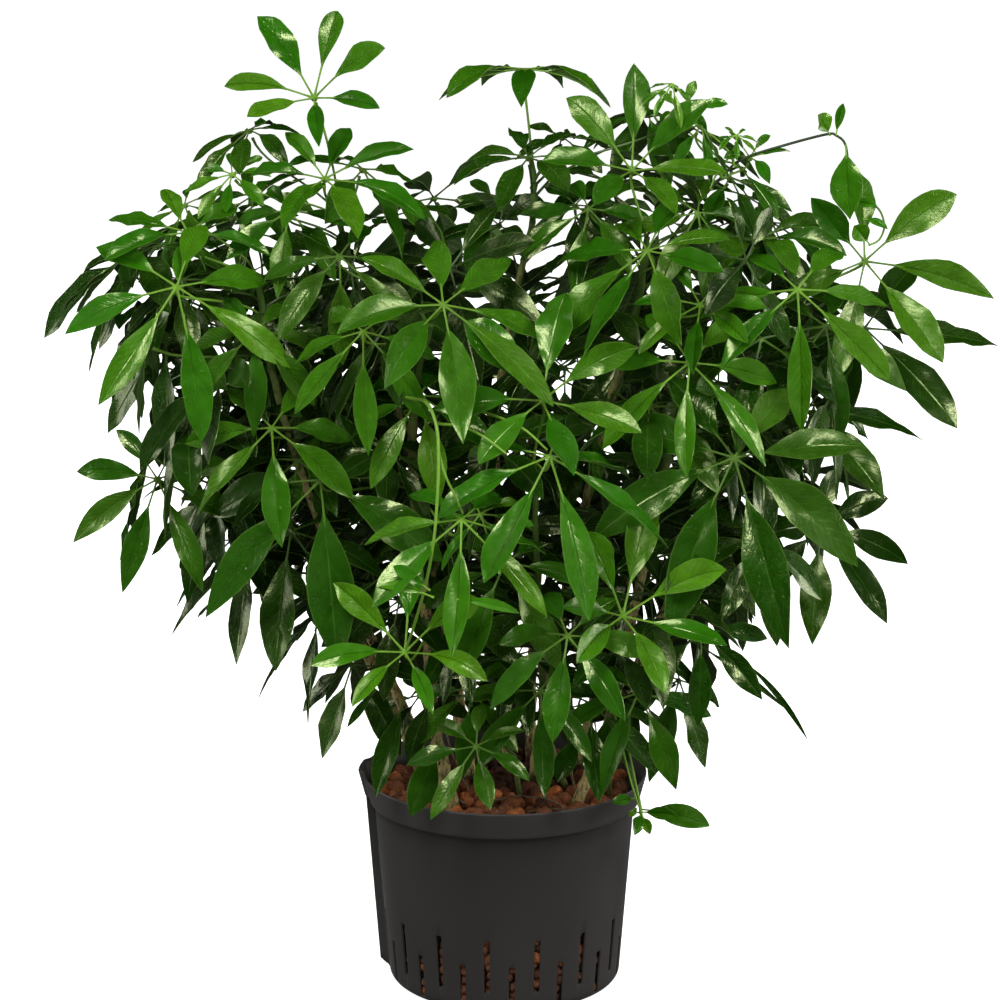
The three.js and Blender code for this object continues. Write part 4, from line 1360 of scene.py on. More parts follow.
@dataclass(frozen=True)
class Bush:
    """The crown as the photograph shows it.

    A level is a height, and how far left and right the crown goes there. An opening is a gap that the
    backdrop shows through: its x, its z and its radius.
    """

    levels: tuple[Place, ...] = (
        (200, -115, 130), (270, -185, 190), (345, -225, 235), (380, -285, 300), (450, -322, 320),
        (520, -316, 292), (600, -348, 364), (665, -345, 358), (700, -293, 293), (750, -266, 250),
        (785, -245, 60), (820, -215, -85),
    )
    openings: tuple[Place, ...] = (
        (-84, 776, 29), (-76, 740, 14), (-41, 721, 14), (-172, 687, 18), (35, 693, 16), (-102, 663, 13),
        (-2, 650, 10), (270, 682, 24), (301, 641, 16), (235, 536, 12), (308, 499, 22), (-312, 611, 12),
        (246, 367, 23), (245, 325, 25), (-253, 329, 25), (-222, 325, 18), (-120, 254, 14),
        (-149, 213, 14), (174, 215, 13), (83, 565, 10), (-64, 553, 10), (93, 488, 12), (-316, 394, 19),
        (-281, 363, 16), (115, 676, 10), (-42, 663, 9),
    )
    middle: float = 12
    depth: float = 0.76
    slack: float = 4

    def sides(self, z: float) -> tuple[float, float]:
        """How far left and right the crown goes at a height."""
        if z <= self.levels[0][0]:
            return self.levels[0][1:]
        for (low, *a), (high, *b) in zip(self.levels, self.levels[1:]):
            if low <= z <= high:
                share = (z - low) / (high - low)
                return lerp(a[0], b[0], share), lerp(a[1], b[1], share)
        return self.levels[-1][1:]

    def reach(self, hub: Vector) -> float:
        """How far out a hub is at its height: 0 in the middle, 1 at the outline."""
        left, right = self.sides(hub.z)
        half = max(right - self.middle if hub.x > self.middle else self.middle - left, 1.0)
        return math.hypot((hub.x - self.middle) / half, hub.y / ((right - left) / 2 * self.depth))

    def holds(self, points: Sequence[Vector]) -> bool:
        """Whether the camera sees points inside the outline and clear of its openings."""
        for point in points:
            place = seen_at(point)
            left, right = self.sides(place.z)
            if not left - self.slack < place.x < right + self.slack:
                return False
            if any(math.hypot(place.x - x, place.z - z) < radius for x, z, radius in self.openings):
                return False
        return True


@dataclass(frozen=True)
class GoldenLeaves:
    """The solids' unseen leaves: they follow each other round a stem by the golden angle."""

    angle: float = 137.5
    share: float = 0.618
    start: float = 0.42
    petiole: tuple[float, float] = (95, 70)
    outward: float = 0.86
    upward: float = 0.5
    lean: tuple[float, float] = (28, 30)
    rise: tuple[float, float] = (-18, 22)
    length: tuple[float, float] = (84, 26)
    spacing: float = 62
    tries: int = 40
    crown: Crown = Crown()

    def leaves(self, stem: Stem, number: int, known: Sequence[Leaf]) -> list[Leaf]:
        """The leaves that fill one stem.

        Args:
            stem: the stem.
            number: its place in the table.
            known: the leaves that are there already.

        Returns:
            The new leaves.
        """
        found: list[Leaf] = []
        for i in range(self.tries):
            if len(found) >= stem.extra:
                break
            pick = part_of((i + 1) * self.share)
            other = part_of((i + 1) * self.share * self.share + number * self.share)
            look = (number * 61 + i * self.angle) % 360
            root = along_path(stem.points(), self.start + (1 - self.start) * pick)
            reach = self.petiole[0] + self.petiole[1] * other
            hub = root + bearing(look) * (reach * self.outward) + UP * (reach * self.upward)
            near = any((leaf.hub - hub).length <= self.spacing for leaf in [*known, *found])
            if not near and self.crown.holds(hub):
                lean = self.lean[0] + self.lean[1] * other
                rise = self.rise[0] + self.rise[1] * pick
                length = self.length[0] + self.length[1] * part_of(pick + other)
                count = 7 if i % 3 == 0 else 6
                found.append(Leaf(stem, hub, root, look, lean, rise, 0, count, length))
        return found


class PackedLeaves:
    """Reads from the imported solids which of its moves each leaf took."""

    tolerance: float = 0.03

    def __init__(self, nodes: Mapping[str, bpy.types.Object]) -> None:
        """Sorts every solid's corners, in millimetres."""
        self.trees: dict[str, KDTree] = {}
        for name, node in nodes.items():
            tree = KDTree(len(node.data.vertices))
            for i, vert in enumerate(node.data.vertices):
                tree.insert(vert.co / MM, i)
            tree.balance()
            self.trees[name] = tree

    def settle(self, leaf: Leaf) -> bool:
        """Gives a leaf the leaflets and the bend that its solid has, if it has one."""
        tree = self.trees[leaf.stem.name]
        leaf.leaflets = []
        for k in range(leaf.count):
            for move in LEAFLET_MOVES:
                leaflet = leaf.leaflet(k, move)
                tip = leaflet.hub + leaflet.way * leaflet.length - UP * (leaflet.length * RULES.sag)
                if tree.find(tip)[2] < self.tolerance:
                    leaf.leaflets.append(leaflet)
                    break
            else:
                return False
        for bend in PETIOLE_MOVES:
            leaf.bend = bend
            if self._has_ring(tree, leaf.petiole(3)[1]):
                return True
        leaf.bend = 0
        return True

    def _has_ring(self, tree: KDTree, centre: Vector) -> bool:
        """Whether three corners of a petiole's ring lie round a point."""
        near = tree.find_range(centre, RULES.petiole_radius + self.tolerance)
        return sum(abs(far - RULES.petiole_radius) < self.tolerance for _, _, far in near) >= 3


def box_of(points: Sequence[Vector]) -> tuple[list[float], list[float]]:
    """The lowest and the highest corner of the box round points."""
    return [min(p[i] for p in points) for i in range(3)], [max(p[i] for p in points) for i in range(3)]


class Crowd:
    """What stands already, which a new leaf is tried against."""

    def __init__(self) -> None:
        """Starts with nothing."""
        self.trees: list[tuple[BVHTree, list[float], list[float]]] = []

    def add(self, points: Sequence[Vector], faces: Sequence[Sequence[int]]) -> None:
        """Adds a shape."""
        self.trees.append((BVHTree.FromPolygons(points, faces), *box_of(points)))

    def meets(self, points: Sequence[Vector], faces: Sequence[Sequence[int]]) -> bool:
        """Whether a shape runs into anything here."""
        low, high = box_of(points)
        tree = BVHTree.FromPolygons(points, faces)
        return any(
            all(low[i] < top[i] and high[i] > foot[i] for i in range(3)) and known.overlap(tree)
            for known, foot, top in self.trees
        )


class LeafAge(Enum):
    """How a leaf looks for its age."""

    SHOOT = "shoot"
    YOUNG = "young"
    GROWN = "grown"
    OLD = "old"


@dataclass(frozen=True)
class LeafHabit:
    """How the leaflets of one age are shaped: each pair is the least and the most."""

    width: tuple[float, float]
    widest: tuple[float, float]
    stalk: tuple[float, float]
    fold: tuple[float, float]
    ripple: tuple[float, float]
    tone_spread: float = 0.07
    tip: tuple[float, float] = (1.8, 2.9)
    waves: tuple[float, float] = (1.4, 2.8)
    twist: float = 0.55
    arch: tuple[float, float] = (-0.04, 0.10)
    flat_arch: float = 0.16
    sweep: float = 0.05


HABITS = {
    LeafAge.SHOOT: LeafHabit((0.26, 0.32), (0.50, 0.56), (0.12, 0.18), (0.50, 0.9), (0.04, 0.12)),
    LeafAge.YOUNG: LeafHabit((0.21, 0.30), (0.52, 0.60), (0.24, 0.30), (0.35, 1.0), (0.05, 0.18)),
    LeafAge.GROWN: LeafHabit((0.24, 0.33), (0.48, 0.58), (0.20, 0.28), (0.25, 1.0), (0.05, 0.18)),
    LeafAge.OLD: LeafHabit((0.27, 0.35), (0.46, 0.54), (0.20, 0.26), (0.20, 0.8), (0.05, 0.18)),
}
SHOOT_LOOK: Place = (0.0, -1.0, 0.35)  # the way that single leaves face


def age_of(tone: float) -> LeafAge:
    """The age of a leaf of that tone."""
    if tone > 0.62:
        return LeafAge.YOUNG
    return LeafAge.GROWN if tone > 0.25 else LeafAge.OLD


def shape_leaflet(leaflet: Leaflet, age: LeafAge, tone: float, draw: random.Random) -> Leaflet:
    """Gives a leaflet its own outline, fold, waves and twist.

    Args:
        leaflet: the leaflet.
        age: its age, which sets how far each may go.
        tone: its leaf's tone.
        draw: the leaf's own random numbers.

    Returns:
        The shaped leaflet.
    """
    habit = HABITS[age]
    flat = smooth((abs(leaflet.side.cross(leaflet.way).z) - 0.86) / 0.12)
    return replace(
        leaflet,
        tone=clamped(tone + draw.uniform(-habit.tone_spread, habit.tone_spread)),
        luck=draw.random(),
        width=draw.uniform(*habit.width),
        widest=draw.uniform(*habit.widest),
        tip=draw.uniform(*habit.tip),
        stalk=draw.uniform(*habit.stalk),
        fold=draw.uniform(*habit.fold),
        ripple=draw.uniform(*habit.ripple),
        waves=draw.uniform(*habit.waves),
        phase=draw.random(),
        twist=draw.gauss(0, habit.twist),
        arch=draw.uniform(*habit.arch) + habit.flat_arch * flat,
        sweep=draw.uniform(-habit.sweep, habit.sweep),
    )


@dataclass
class Foliage:
    """All the leaves of the plant: the solids' own, and finer fill between them."""

    stems: Sequence[Stem]
    bush: Bush = Bush()
    leaves: list[Leaf] = field(default_factory=list)
    crowd: Crowd = field(default_factory=Crowd)
    top_leaves: float = 790
    tone_spread: tuple[float, float] = (-0.10, 0.20)
    fill_seed: int = 20
    fill_tries: int = 130
    fill_spacing: float = 42
    fill_thinning: float = 0.6
    fill_front: float = -130
    fill_bare: float = 0.3
    fill_root: tuple[float, float] = (0.36, 1.0)
    fill_reach: tuple[float, float] = (45, 150)
    fill_outward: float = 0.85
    fill_upward: tuple[float, float] = (0.1, 0.65)
    fill_turn: float = 70
    fill_lean: tuple[float, float] = (10, 68)
    fill_rise: tuple[float, float] = (-34, 8)
    fill_spin: float = 25
    fill_counts: tuple[int, ...] = (6, 7, 7, 8)
    fill_length: tuple[float, float] = (58, 104)
    fill_shade: float = 0.6
    notch_x: float = 5
    notch_reach: float = 85
    notch_foot: float = 660
    open_x: float = 20
    open_z: float = 560
    open_half: tuple[float, float] = (120, 130)
    thinnest_stem: float = 3
    tried_moves: int = 16

    def settle(self) -> None:
        """Finds the solids' leaves and adds the fill."""
        leaves = [leaf for stem in self.stems for leaf in stem.shown_leaves(stem.leaves)]
        shown = list(leaves)
        golden = GoldenLeaves()
        for number, stem in enumerate(self.stems):
            leaves += golden.leaves(stem, number, leaves)
        packed = PackedLeaves(frame["nodes"])
        self.leaves = [leaf for leaf in leaves if packed.settle(leaf)]
        log.info("%d of %d leaves are in the solids", len(self.leaves), len(leaves))
        for node in frame["nodes"].values():
            self.crowd.add(
                [v.co / MM for v in node.data.vertices], [tuple(p.vertices) for p in node.data.polygons]
            )
        for i, leaf in enumerate(self.leaves):
            draw = random.Random(f"leaf {leaf.stem.name} {i}")
            if leaf not in shown:
                leaf.tone = self._tone(leaf.hub, draw)
            age = age_of(leaf.tone)
            leaf.leaflets = [
                shape_leaflet(leaflet, age, leaf.tone, draw) for leaflet in leaf.leaflets
            ]
        missing = [leaf for leaf in shown if leaf not in self.leaves]
        for stem in self.stems:
            missing += stem.shown_leaves(FINE_LEAVES.get(stem.name, ()))
        for i, leaf in enumerate(missing):
            draw = random.Random(f"fine {leaf.stem.name} {i}")
            if self._fits(leaf, draw, 3):
                self.leaves.append(leaf)
            else:
                log.info("no room for the leaf at %s", leaf.hub)
        self._fill()

    def _tone(self, hub: Vector, draw: random.Random) -> float:
        """How bright a leaf's tone is, as painted light and shade: bright at the front, the top and the
        back, where light falls on the crown, and dark inside, where the crown shades itself.
        """
        outside = smooth((self.bush.reach(hub) - 0.4) / 0.6) if hub.z < self.top_leaves else 1.0
        front = smooth((-45 - hub.y) / 110)
        back = smooth((hub.y - 90) / 120)
        high = smooth((hub.z - 600) / 200)
        tone = 0.20 * front + (0.08 + 0.38 * back) * outside + 0.20 * high
        return clamped(tone + draw.uniform(*self.tone_spread))

    def _fill(self) -> None:
        """Adds leaves wherever there is room between the others."""
        for stem in self.stems:
            if stem.foot_radius < self.thinnest_stem:
                continue
            draw = random.Random(f"fill {stem.name} {self.fill_seed}")
            points = stem.points()
            for _ in range(self.fill_tries):
                leaf = self._drawn_leaf(stem, points, draw)
                in_shell = self.fill_bare < self.bush.reach(leaf.hub) < 1
                if not in_shell or leaf.hub.y < self.fill_front:
                    continue
                if leaf.hub.z > self.notch_foot and abs(leaf.hub.x - self.notch_x) < self.notch_reach:
                    continue
                spacing = self.fill_spacing * (1 + self.fill_thinning * self._middle(leaf.hub))
                near = any((other.hub - leaf.hub).length < spacing for other in self.leaves)
                if not near and self._fits(leaf, draw, leaf.count - 2):
                    self.leaves.append(leaf)
        log.info("%d leaves with the fill", len(self.leaves))

    def _middle(self, hub: Vector) -> float:
        """How near a hub is to the open middle of the crown, from 0 to 1."""
        wide, high = self.open_half
        return math.exp(-(((hub.x - self.open_x) / wide) ** 2) - ((hub.z - self.open_z) / high) ** 2)

    def _drawn_leaf(self, stem: Stem, points: Sequence[Vector], draw: random.Random) -> Leaf:
        """A leaf somewhere along a stem."""
        root = along_path(points, draw.uniform(*self.fill_root))
        reach = draw.uniform(*self.fill_reach)
        outward = bearing(draw.uniform(0, 360)) * reach * self.fill_outward
        hub = root + outward + UP * reach * draw.uniform(*self.fill_upward)
        look = math.degrees(math.atan2(hub.x, -hub.y))
        look += draw.uniform(-self.fill_turn, self.fill_turn)
        leaf = Leaf(
            stem, hub, root, look, draw.uniform(*self.fill_lean), draw.uniform(*self.fill_rise),
            draw.uniform(-self.fill_spin, self.fill_spin), draw.choice(self.fill_counts),
            draw.uniform(*self.fill_length), fine=False,
        )
        # fill leaves sit inside and behind the crown, so their tone is cut further: painted shade
        leaf.tone = self._tone(hub, draw) * self.fill_shade
        return leaf

    def _fits(self, leaf: Leaf, draw: random.Random, least: int) -> bool:
        """Finds room for a leaf, which then stands in the crowd.

        Args:
            leaf: the leaf, which gets its leaflets and its bend.
            draw: its random numbers.
            least: how many of its leaflets have to find room.

        Returns:
            Whether it found room.
        """
        for leaf.bend in PETIOLE_MOVES:
            points = leaf.petiole(5)
            rails = [p + away for p in points for away in (Vector((1.2, 0, 0)), Vector((-1.2, 0, 0)))]
            ribbon = [(2 * i, 2 * i + 1, 2 * i + 3, 2 * i + 2) for i in range(1, 5)]
            if not self.crowd.meets(rails, ribbon):
                break
        else:
            return False
        age = age_of(leaf.tone)
        found = []
        for k in range(leaf.count):
            for move in LEAFLET_MOVES[: self.tried_moves]:
                leaflet = shape_leaflet(leaf.leaflet(k, move), age, leaf.tone, draw)
                strip = leaflet.strip(0.5)
                allowed = self._inside(strip[0]) and (leaf.fine or self.bush.holds(strip[0]))
                if allowed and not self.crowd.meets(*strip):
                    found.append((leaflet, strip))
                    break
        if len(found) < least:
            return False
        self.crowd.add(rails, ribbon)
        for leaflet, strip in found:
            leaf.leaflets.append(leaflet)
            self.crowd.add(*strip)
        return True

    @staticmethod
    def _inside(points: Sequence[Vector]) -> bool:
        """Whether points are inside the solids' box."""
        low, high = CAD_BOX
        return all(low[i] < p[i] * MM < high[i] for p in points for i in range(3))


@dataclass(frozen=True)
class Detail:
    """How finely a leaf is drawn. A ring is a share of the stalk or the blade, and its radius."""

    blade_rows: int
    petiole_steps: int
    petiole_sides: int
    stalk_sides: int
    stalk_rings: tuple[tuple[float, float], ...]
    rib_rings: tuple[tuple[float, float], ...]


FINE = Detail(
    12, 14, 7, 5, ((0.0, 1.5), (0.3, 0.95), (0.65, 0.85), (1.0, 1.0)),
    ((0.12, 0.85), (0.3, 0.7), (0.52, 0.5), (0.74, 0.3)),
)
COARSE = Detail(8, 8, 5, 4, ((0.0, 1.4), (1.0, 0.9)), ((0.35, 0.6),))


@dataclass(frozen=True)
class WoodLook:
    """How a stem's wood is drawn: its knuckles, how it sways between them and how rough it is."""

    step: float
    sides: int
    knuckle_gap: float
    knuckle_swell: float
    sway: float
    roughness: float


WOODY = WoodLook(step=3.5, sides=14, knuckle_gap=0.7, knuckle_swell=0.13, sway=0.5, roughness=0.22)
GREEN = WoodLook(step=5, sides=10, knuckle_gap=1.2, knuckle_swell=0.10, sway=0.8, roughness=0.06)


@dataclass
class LeafyStem:
    """One stem as the render shows it: its wood in one piece and its leaves in another."""

    stem: Stem
    leaves: list[Leaf]
    bark: bpy.types.Material
    stalk: bpy.types.Material
    upper: bpy.types.Material
    under: bpy.types.Material
    blade_thickness: float = 0.55
    knuckle_gap: float = 21.0
    knuckle_half: float = 2.6
    woody_foot: float = 4
    slimmest: float = 0.72
    full_length: float = 110
    petiole_radius: float = 1.15
    root_flare: float = 1.3
    hub_flare: float = 0.55
    hub_size: tuple[float, float] = (2.7, 1.9)

    def build(self) -> list[bpy.types.Object]:
        """Returns: the stem's pieces."""
        return [self.build_wood(), *self.build_leaves()]

    def build_wood(self) -> bpy.types.Object:
        """Returns: the stem, with knuckles where old leaves have dropped."""
        stem, growth = self.stem, Growth()
        woody = stem.foot_radius >= self.woody_foot
        look = WOODY if woody else GREEN
        curve = rounded_path(stem.points(), look.step)
        draw = random.Random(f"wood {stem.name} {stem.foot_radius}")
        radii, tones, spots = [], [], []
        walked, last = 0.0, curve[0][0]
        gap = self.knuckle_gap * look.knuckle_gap
        for spot, share in curve:
            walked += (spot - last).length
            last = spot
            beat = walked / gap
            knuckle = math.exp(-(((part_of(beat) - 0.5) * gap / self.knuckle_half) ** 2))
            swell = 1 + look.knuckle_swell * knuckle
            radii.append(lerp(stem.foot_radius, stem.tip_radius, share) * swell)
            tones.append(smooth(share * 1.25 - 0.25) if woody else 0.75 + 0.2 * share)
            away = bearing(math.floor(beat) * GoldenLeaves.angle) * look.sway
            spots.append(spot + away * math.sin(math.pi * part_of(beat)))
        verts = growth.rod(spots, radii, look.sides, tones, draw.random())
        for vert in verts:
            rough = noise.noise(vert.co * 0.11) * 0.6 + noise.noise(vert.co * 0.35) * 0.35
            centre = min(spots, key=lambda p: (p - vert.co).length_squared)
            vert.co += (vert.co - centre) * (rough * look.roughness)
        return growth.piece(f"{stem.name}_wood", "foliage", [self.bark], [stem.name])

    def build_leaves(self) -> list[bpy.types.Object]:
        """Returns: the stalks and hubs as one piece and the blades as another."""
        stalks, blades = Growth(), Growth()
        for number, leaf in enumerate(self.leaves):
            self._petiole(stalks, leaf, number)
            for leaflet in leaf.leaflets:
                self._leaflet(stalks, blades, leaflet, FINE if leaf.fine else COARSE)
        shoots = [*self.stem.blades, *FINE_BLADES.get(self.stem.name, ())]
        twigs = [*([self.stem.twig] if self.stem.twig else []), *FINE_TWIGS.get(self.stem.name, ())]
        shoots += [row for twig in twigs for row in twig.blades]
        for number, row in enumerate(shoots):
            self._leaflet(stalks, blades, self._single(row, number), FINE)
        if not self.leaves and not shoots:
            return []
        for twig in twigs:
            self._twig(stalks, twig)
        blades.thicken(self.blade_thickness, 1)
        name = self.stem.name
        return [
            stalks.piece(f"{name}_stalks", "foliage", [self.stalk], [name]),
            blades.piece(f"{name}_leaves", "foliage", [self.upper, self.under], [name], 50),
        ]

    @staticmethod
    def _twig(stalks: Growth, twig: Twig) -> None:
        """Adds a thin shoot, which is darkest at its root."""
        curve = rounded_path(vectors(twig.path), 3)
        points = [spot for spot, _ in curve]
        radii = [twig.radius * lerp(1.15, 0.75, share) for _, share in curve]
        tones = [lerp(twig.tone, 0.95, share**3) for _, share in curve]
        stalks.rod(points, radii, 7, tones, 0.5)

    def _petiole(self, stalks: Growth, leaf: Leaf, number: int) -> None:
        """Adds a leaf's petiole and hub."""
        draw = random.Random(f"petiole {self.stem.name} {number}")
        detail = FINE if leaf.fine else COARSE
        steps = detail.petiole_steps
        slim = lerp(self.slimmest, 1.0, min(leaf.length / self.full_length, 1))
        radii = [
            slim * (
                self.petiole_radius + self.root_flare * math.exp(-i / 0.8)
                + self.hub_flare * math.exp((i - steps) / 0.9)
            )
            for i in range(steps + 1)
        ]
        tone = min(1.0, leaf.tone * 1.15 + draw.uniform(-0.1, 0.12))
        stalks.rod(leaf.petiole(steps), radii, detail.petiole_sides, tone, draw.random())
        face, downhill, across = leaf.axes()
        wide, high = self.hub_size
        squash = Matrix((downhill * wide, across * wide, face * high)).transposed()
        stalks.stone(leaf.hub - face * 1.6, squash, draw.random(), 0.25)

    @staticmethod
    def _leaflet(stalks: Growth, blades: Growth, leaflet: Leaflet, detail: Detail) -> None:
        """Adds one leaflet's blade, and its stalk with the midrib that it runs on as.

        Args:
            stalks: the shape that the stalk goes into.
            blades: the shape that the blade goes into.
            leaflet: the leaflet.
            detail: how finely it is drawn.
        """
        blades.blade(leaflet, detail.blade_rows)
        size = lerp(0.6, 1.0, min(leaflet.length / 90, 1))
        points, radii = [], []
        for share, radius in detail.stalk_rings:
            s = leaflet.stalk * share
            points.append(leaflet.centre(s) + leaflet.axes(s)[1] * 0.1)
            radii.append(radius * size)
        for u, radius in detail.rib_rings:
            s = lerp(leaflet.stalk, 1.0, u)
            points.append(leaflet.centre(s) - leaflet.axes(s)[1] * (0.5 + radius * size * 0.4))
            radii.append(radius * size)
        tone = min(1.0, leaflet.tone * 1.1 + 0.05)
        stalks.rod(points, radii, detail.stalk_sides, tone, leaflet.luck)

    def _single(self, row: BladeRow, number: int) -> Leaflet:
        """A single leaf on a shoot."""
        start, way, length, width, tone = row
        ahead = Vector(way).normalized()
        side = Vector(SHOOT_LOOK).cross(ahead).normalized()
        draw = random.Random(f"single {self.stem.name} {number}")
        leaflet = Leaflet(Vector(start), ahead, side, length)
        return replace(shape_leaflet(leaflet, LeafAge.SHOOT, tone, draw), width=width)


# ---- Pot and pebbles -------------------------------------------------------------------------------


@dataclass
class CulturePot:
    """The round pot: a tapered wall with two rows of slots, a band at its rim and a gauge channel."""

    finish: PotFinish
    height: float = 190
    rim_radius: float = 125
    band_height: float = 24
    band_foot_radius: float = 119
    lip_height: float = 1.2
    lip_inset: float = 0.9
    wall_top_radius: float = 114.5
    base_radius: float = 101.5
    base_rounding: float = 9
    wall: float = 1.7
    crisp_angle: float = math.radians(38)
    crisp_bevel: float = 0.45
    columns: int = 240
    slots: int = 30
    slot_columns: int = 2
    first_slot_bearing: float = 3.6
    upper_slot: tuple[float, float] = (19.5, 68)
    lower_slot: tuple[float, float] = (5, 44.5)
    channel_bearing: float = -97
    channel_half: float = 14
    channel_reach: float = 8.5
    channel_rim_half: float = 19
    channel_rim_reach: float = 4
    channel_foot: float = 8

    def wall_radius(self, z: float) -> float:
        """The wall's outer radius at a height under the band."""
        return lerp(self.base_radius, self.wall_top_radius, z / (self.height - self.band_height))

    def profile(self) -> list[tuple[float, float]]:
        """The outer skin's radius and height, from the middle of the underside to the lip."""
        top = self.height - self.band_height
        r, base = self.base_rounding, self.base_radius
        points = [(0.0, 0.0), (40.0, 0.0), (base - r, 0.0)]
        rise = self.lower_slot[0]
        for z in (0.4, 1.4, 2.8, rise, 7.0):
            fall = (r - z) / r
            points.append((base - r + (self.wall_radius(z) - base + r) * math.sqrt(1 - fall**2), z))
        heights = (9.0, 14.0, 19.5, 28.0, 36.0, 44.5, 52.0, 60.0, 68.0, 84.0, 104.0, 124.0, 146.0)
        points += [(self.wall_radius(z), z) for z in heights]
        points += [(self.wall_top_radius, top), (self.band_foot_radius, top)]
        lip = self.height - self.lip_height
        for z in (top + 3, top + 8, top + 13, top + 18, lip):
            share = (z - top) / (lip - top)
            points.append((lerp(self.band_foot_radius, self.rim_radius, share), z))
        points.append((self.rim_radius - self.lip_inset, self.height))
        return points

    def build(self) -> bpy.types.Object:
        """Returns: the pot."""
        growth = Growth()
        shape = growth.shape
        start = bearing(self.first_slot_bearing - 180 * self.slot_columns / self.columns)
        verts = [shape.verts.new(start * r + UP * z) for r, z in self.profile()]
        edges = [shape.edges.new(pair) for pair in zip(verts, verts[1:])]
        bmesh.ops.spin(
            shape, geom=[*verts, *edges], cent=(0, 0, 0), axis=(0, 0, 1), dvec=(0, 0, 0),
            angle=TURN, steps=self.columns, use_merge=True, use_duplicate=False,
        )
        bmesh.ops.remove_doubles(shape, verts=shape.verts, dist=0.01)
        bmesh.ops.recalc_face_normals(shape, faces=shape.faces)
        if shape.calc_volume() < 0:
            bmesh.ops.reverse_faces(shape, faces=shape.faces)
        holes = [face for face in shape.faces if self._in_slot(face.calc_center_median())]
        bmesh.ops.delete(shape, geom=holes, context="FACES")
        for vert in shape.verts:
            self._swell(vert)
        bmesh.ops.solidify(shape, geom=shape.faces[:], thickness=self.wall)
        crisp = [
            edge for edge in shape.edges
            if edge.is_manifold and edge.calc_face_angle() > self.crisp_angle
        ]
        bmesh.ops.bevel(
            shape, geom=crisp, affect="EDGES", offset=self.crisp_bevel, offset_type="OFFSET",
            segments=2, profile=0.5, clamp_overlap=True, material=-1,
        )
        return growth.piece("culture_pot", "pot_plastic", [self.finish.material()], ["pot"], 40)

    def _in_slot(self, middle: Vector) -> bool:
        """Whether a face's middle lies in one of the slots."""
        if middle.to_2d().length < 60:
            return False
        step = 360 / self.slots
        turn = (math.degrees(math.atan2(middle.x, -middle.y)) - self.first_slot_bearing) / step
        number = round(turn)
        if abs(turn - number) * step > 180 * self.slot_columns / self.columns:
            return False
        low, high = self.lower_slot if number % 2 == 0 else self.upper_slot
        return low < middle.z < high

    def _swell(self, vert: bmesh.types.BMVert) -> None:
        """Pushes the wall out where the gauge channel runs up it, and at the rim above it."""
        out = bearing(self.channel_bearing)
        flat = Vector((vert.co.x, vert.co.y, 0))
        if flat.dot(out) < 60:
            return
        off = abs(flat.dot(Vector((-out.y, out.x, 0))))
        top = self.height - self.band_height
        if self.band_foot_radius - 0.5 < flat.length and vert.co.z > top - 1:
            side = smooth((self.channel_rim_half + 2 - off) / 8)
            vert.co += flat.normalized() * self.channel_rim_reach * side
        elif self.channel_foot <= vert.co.z < top + 1:
            side = smooth((self.channel_half + 1.6 - off) / 4.2)
            foot = lerp(0.3, 1, min((vert.co.z - self.channel_foot) / 6, 1))
            vert.co += flat.normalized() * self.channel_reach * side * foot * (1 - 0.0005 * off**2)


